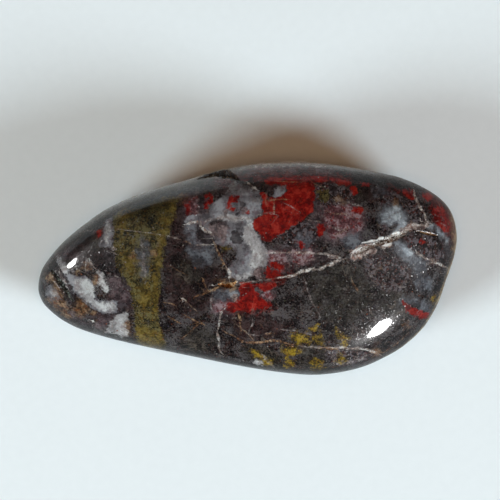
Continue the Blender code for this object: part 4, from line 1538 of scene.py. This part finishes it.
def polish_stone(tree, groups, place, inside, shader):
    """How rough the stone is, how much of its polish is left, and its pits and sparks."""
    pits = tree.use(groups["fleck"], {"Place": place, **PITS})
    worn = tree.rise(tree.grain(place, WORN_FINENESS, detail=4.0, roughness=0.7), *WORN_LEVELS)
    rough = tree.mix(pits, tree.between(worn, ROUGHNESS, WORN_ROUGHNESS), PIT_ROUGHNESS)
    tree.join(tree.mix(inside, rough, CRACK_ROUGHNESS), shader.inputs["Roughness"])
    lost = tree.math("MAXIMUM", inside, tree.math("MULTIPLY", pits, PIT_POLISH_LOST))
    polish = tree.math("SUBTRACT", 1.0, lost)
    polish = tree.math("MULTIPLY", polish, tree.value_of("polish")["Fac"])
    tree.join(polish, shader.inputs["Coat Weight"])
    skin = tree.math("MULTIPLY", tree.grain(place, SKIN_FINENESS, detail=3.0), SKIN_SHARE)
    height = tree.math("SUBTRACT", skin, tree.math("MULTIPLY", pits, PIT_DEPTH))
    tree.join(tree.bump(height, SKIN_RELIEF, SKIN_STRENGTH), shader.inputs["Normal"])
    # Plain nodes and no group, because no group feeds the coat's own normal
    sparks = fleck_nodes(tree, tree.moved(place, SPARK_SHIFT), **SPARKS)
    tree.join(tree.bump(sparks, SPARK_HEIGHT), shader.inputs["Coat Normal"])


def stone_material(groups):
    material, tree, shader, place = new_material("ferruginous_quartz", STONE_GLOSS)
    colour, inside = stone_colour(tree, groups, place)
    tree.join(colour, shader.inputs["Base Color"])
    polish_stone(tree, groups, place, inside, shader)
    return material


def crystal_material(groups):
    material, tree, shader, place = new_material("druse_quartz", CRYSTAL_GLOSS)
    colour = tree.use(groups["mottle"], {"Place": place, **CRYSTAL_TONES})
    tree.join(colour, shader.inputs["Base Color"])
    return material


def paper_material():
    material, tree, shader, place = new_material("white_paper", PAPER_GLOSS)
    fibres = tree.grain(place, PAPER_FINENESS, detail=4.0)
    tree.join(tree.blend(fibres, PAPER_LOW, PAPER_HIGH), shader.inputs["Base Color"])
    return material


# Crystals in the drusy crack


def crystal_tree():
    """Scatters small six-sided crystals over a surface, each tilted, turned and sized on its own."""
    group, tree, given, out = new_group("druse", "GeometryNodeTree", {
        "Surface": ("Geometry", None), "Crystals per area": ("Float", 1.0), "Width": ("Float", 1.0),
        "Length": ("Float", 1.0), "Tilt": ("Float", 0.5), "Seed": ("Int", 0), "Finish": ("Material", None),
    }, {"Geometry": "Geometry"})
    spread = tree.add("GeometryNodeDistributePointsOnFaces", {
        "Mesh": given["Surface"], "Density": given["Crystals per area"], "Seed": given["Seed"],
    }).outputs
    crystal = tree.add("GeometryNodeMeshCone", {
        "Vertices": CRYSTAL_SIDES, "Side Segments": 2, "Radius Bottom": given["Width"], "Radius Top": 0.0,
        "Depth": given["Length"],
    }).outputs["Mesh"]
    lean = tree.add("FunctionNodeRandomValue", {
        0: tree.math("MULTIPLY", given["Tilt"], -1.0), 1: given["Tilt"], "Seed": given["Seed"],
    }, data_type="FLOAT_VECTOR").outputs[0]
    tilted = tree.add("FunctionNodeRotateRotation", {"Rotation": spread["Rotation"], "Rotate By": lean})
    smallest, largest = CRYSTAL_SIZES
    size = tree.add("FunctionNodeRandomValue", {2: smallest, 3: largest, "Seed": CRYSTAL_SIZE_SEED})
    placed = tree.add("GeometryNodeInstanceOnPoints", {
        "Points": spread["Points"], "Instance": crystal, "Rotation": tilted.outputs[0],
        "Scale": size.outputs[1],
    }).outputs[0]
    whole = tree.add("GeometryNodeRealizeInstances", {0: placed}).outputs[0]
    finished = tree.add("GeometryNodeSetMaterial", {"Geometry": whole, "Material": given["Finish"]})
    tree.join(finished.outputs[0], out["Geometry"])
    return group


def crack_floor(pebble, name, share):
    """The faces of the pebble that lie well inside a crack, as a mesh of their own."""
    mesh = pebble.data
    points = mesh_points(mesh) / MM
    near, distance, half_width, _ = crack_near(CRACKS[name], points)
    inside = np.zeros(len(points), bool)
    inside[near[distance < half_width * share]] = True
    faces = [tuple(face.vertices) for face in mesh.polygons if all(inside[v] for v in face.vertices)]
    used = sorted({v for face in faces for v in face})
    order = {v: i for i, v in enumerate(used)}
    floor = bpy.data.meshes.new(name + "_floor")
    floor.from_pydata([mesh.vertices[v].co for v in used], [], [[order[v] for v in face] for face in faces])
    return floor


def grow_crystals(pebble, name, finish, tree):
    """The crystals on the floor of a crack, as a plain mesh."""
    floor = add_object(name + "_floor", crack_floor(pebble, name, DRUSE_SHARE))
    modifier = floor.modifiers.new("druse", "NODES")
    modifier.node_group = tree
    sockets = {item.name: item.identifier for item in tree.interface.items_tree if item.in_out == "INPUT"}
    values = {
        "Crystals per area": DRUSE_DENSITY / MM**2, "Width": DRUSE_WIDTH * MM,
        "Length": DRUSE_LENGTH * MM, "Tilt": DRUSE_TILT, "Seed": DRUSE_SEED, "Finish": finish,
    }
    for label, value in values.items():
        modifier[sockets[label]] = value
    shown = floor.evaluated_get(bpy.context.evaluated_depsgraph_get())
    mesh = bpy.data.meshes.new_from_object(shown)
    mesh.name = name + "_crystals"
    bpy.data.objects.remove(floor)
    return add_object(name + "_crystals", mesh)


# Paper, lamps and camera


def lay_paper():
    bm = bmesh.new()
    bmesh.ops.create_circle(bm, cap_ends=True, segments=PAPER_CORNERS, radius=PAPER_RADIUS)
    mesh = bpy.data.meshes.new("paper")
    bm.to_mesh(mesh)
    bm.free()
    mesh.materials.append(paper_material())
    paper = add_object("paper", mesh)


def camera_place():
    x, y = drawn(PICTURE_MIDDLE)
    return Vector((x * MM, y * MM, CAMERA_HEIGHT))


def mirrored_place(dot):
    """The place, as far off as the lamps, that the polish mirrors to the camera at a dot of the picture."""
    x, y = drawn(dot)
    point = Vector((x, y, float(top_height(x, y)))) * MM
    facing, sight = top_normal(x, y), (camera_place() - point).normalized()
    return point + (2 * facing.dot(sight) * facing - sight) * LAMP_DISTANCE


def hang(name, lamp, place, turn=None):
    """Hangs a lamp, facing the stone."""
    holder = bpy.data.objects.new(name, lamp)
    holder.location = place
    holder.rotation_euler = (turn or place.to_track_quat("Z", "Y")).to_euler()
    bpy.context.scene.collection.objects.link(holder)
    return holder


def add_lamp(name, azimuth, elevation, light):
    """A soft round lamp that lights the stone and throws its shadow, and isn't mirrored."""
    azimuth, elevation = math.radians(azimuth), math.radians(elevation)
    lamp = bpy.data.lights.new(name, "AREA")
    lamp.shape = "DISK"
    lamp.size = 2 * LAMP_RADIUS
    lamp.energy = math.pi**2 * LAMP_DISTANCE**2 / math.sin(elevation) * max(light)
    lamp.color = [c / max(light) for c in light]
    flat = math.cos(elevation)
    direction = Vector((math.cos(azimuth) * flat, math.sin(azimuth) * flat, math.sin(elevation)))
    hang(name, lamp, direction * LAMP_DISTANCE).visible_glossy = False


def add_face(name, middle, long_end, short_end):
    """The bright face of a lamp, so large and so turned that its glint fills the one in the picture."""
    centre, reach, side = (mirrored_place(dot) for dot in (middle, long_end, short_end))
    across = np.array([reach - centre, side - centre]).T
    axes, sizes, _ = np.linalg.svd(across, full_matrices=False)
    lamp = bpy.data.lights.new(name, "AREA")
    lamp.shape = "ELLIPSE"
    lamp.size, lamp.size_y = 2 * sizes
    lamp.energy = FACE_BRIGHTNESS * math.pi * math.pi * sizes[0] * sizes[1]
    first, away = Vector(axes[:, 0]), centre.normalized()
    first = (first - away * first.dot(away)).normalized()
    turn = Matrix((first, away.cross(first), away)).transposed().to_quaternion()
    hang(name, lamp, centre, turn).visible_diffuse = False


def dim_the_room():
    world = bpy.data.worlds.new("dim_room")
    world.use_nodes = True
    world.node_tree.nodes["Background"].inputs["Color"].default_value = (*ROOM_LIGHT, 1.0)
    bpy.context.scene.world = world


def place_camera():
    camera = bpy.data.cameras.new("camera")
    camera.sensor_width = SENSOR_WIDTH
    distance = CAMERA_HEIGHT - WIDEST_LEVEL * MM
    camera.lens = camera.sensor_width * distance * PICTURE_SCALE / (PICTURE_SIDE * DOT * MM)
    holder = bpy.data.objects.new("camera", camera)
    holder.location = camera_place()
    bpy.context.scene.collection.objects.link(holder)
    bpy.context.scene.camera = holder
    bpy.context.scene.view_settings.view_transform = "Standard"


def main():
    groups = {
        "mottle": mottle_group(), "patch": patch_group(), "vein": vein_group(), "fleck": fleck_group(),
        "crescent": crescent_group(), "hairline": hairline_group(),
    }
    pebble = make_pebble()
    pebble.data.materials.append(stone_material(groups))
    crystals = grow_crystals(pebble, "drusy_crack", crystal_material(groups), crystal_tree())
    for piece in (pebble, crystals):
        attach(piece, "root")
    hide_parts("pebble")
    lay_paper()
    for name, (azimuth, elevation, light) in LAMPS.items():
        add_lamp(name, azimuth, elevation, light)
    for name, (middle, long_end, short_end) in GLINTS.items():
        add_face(name, middle, long_end, short_end)
    dim_the_room()
    place_camera()


main()
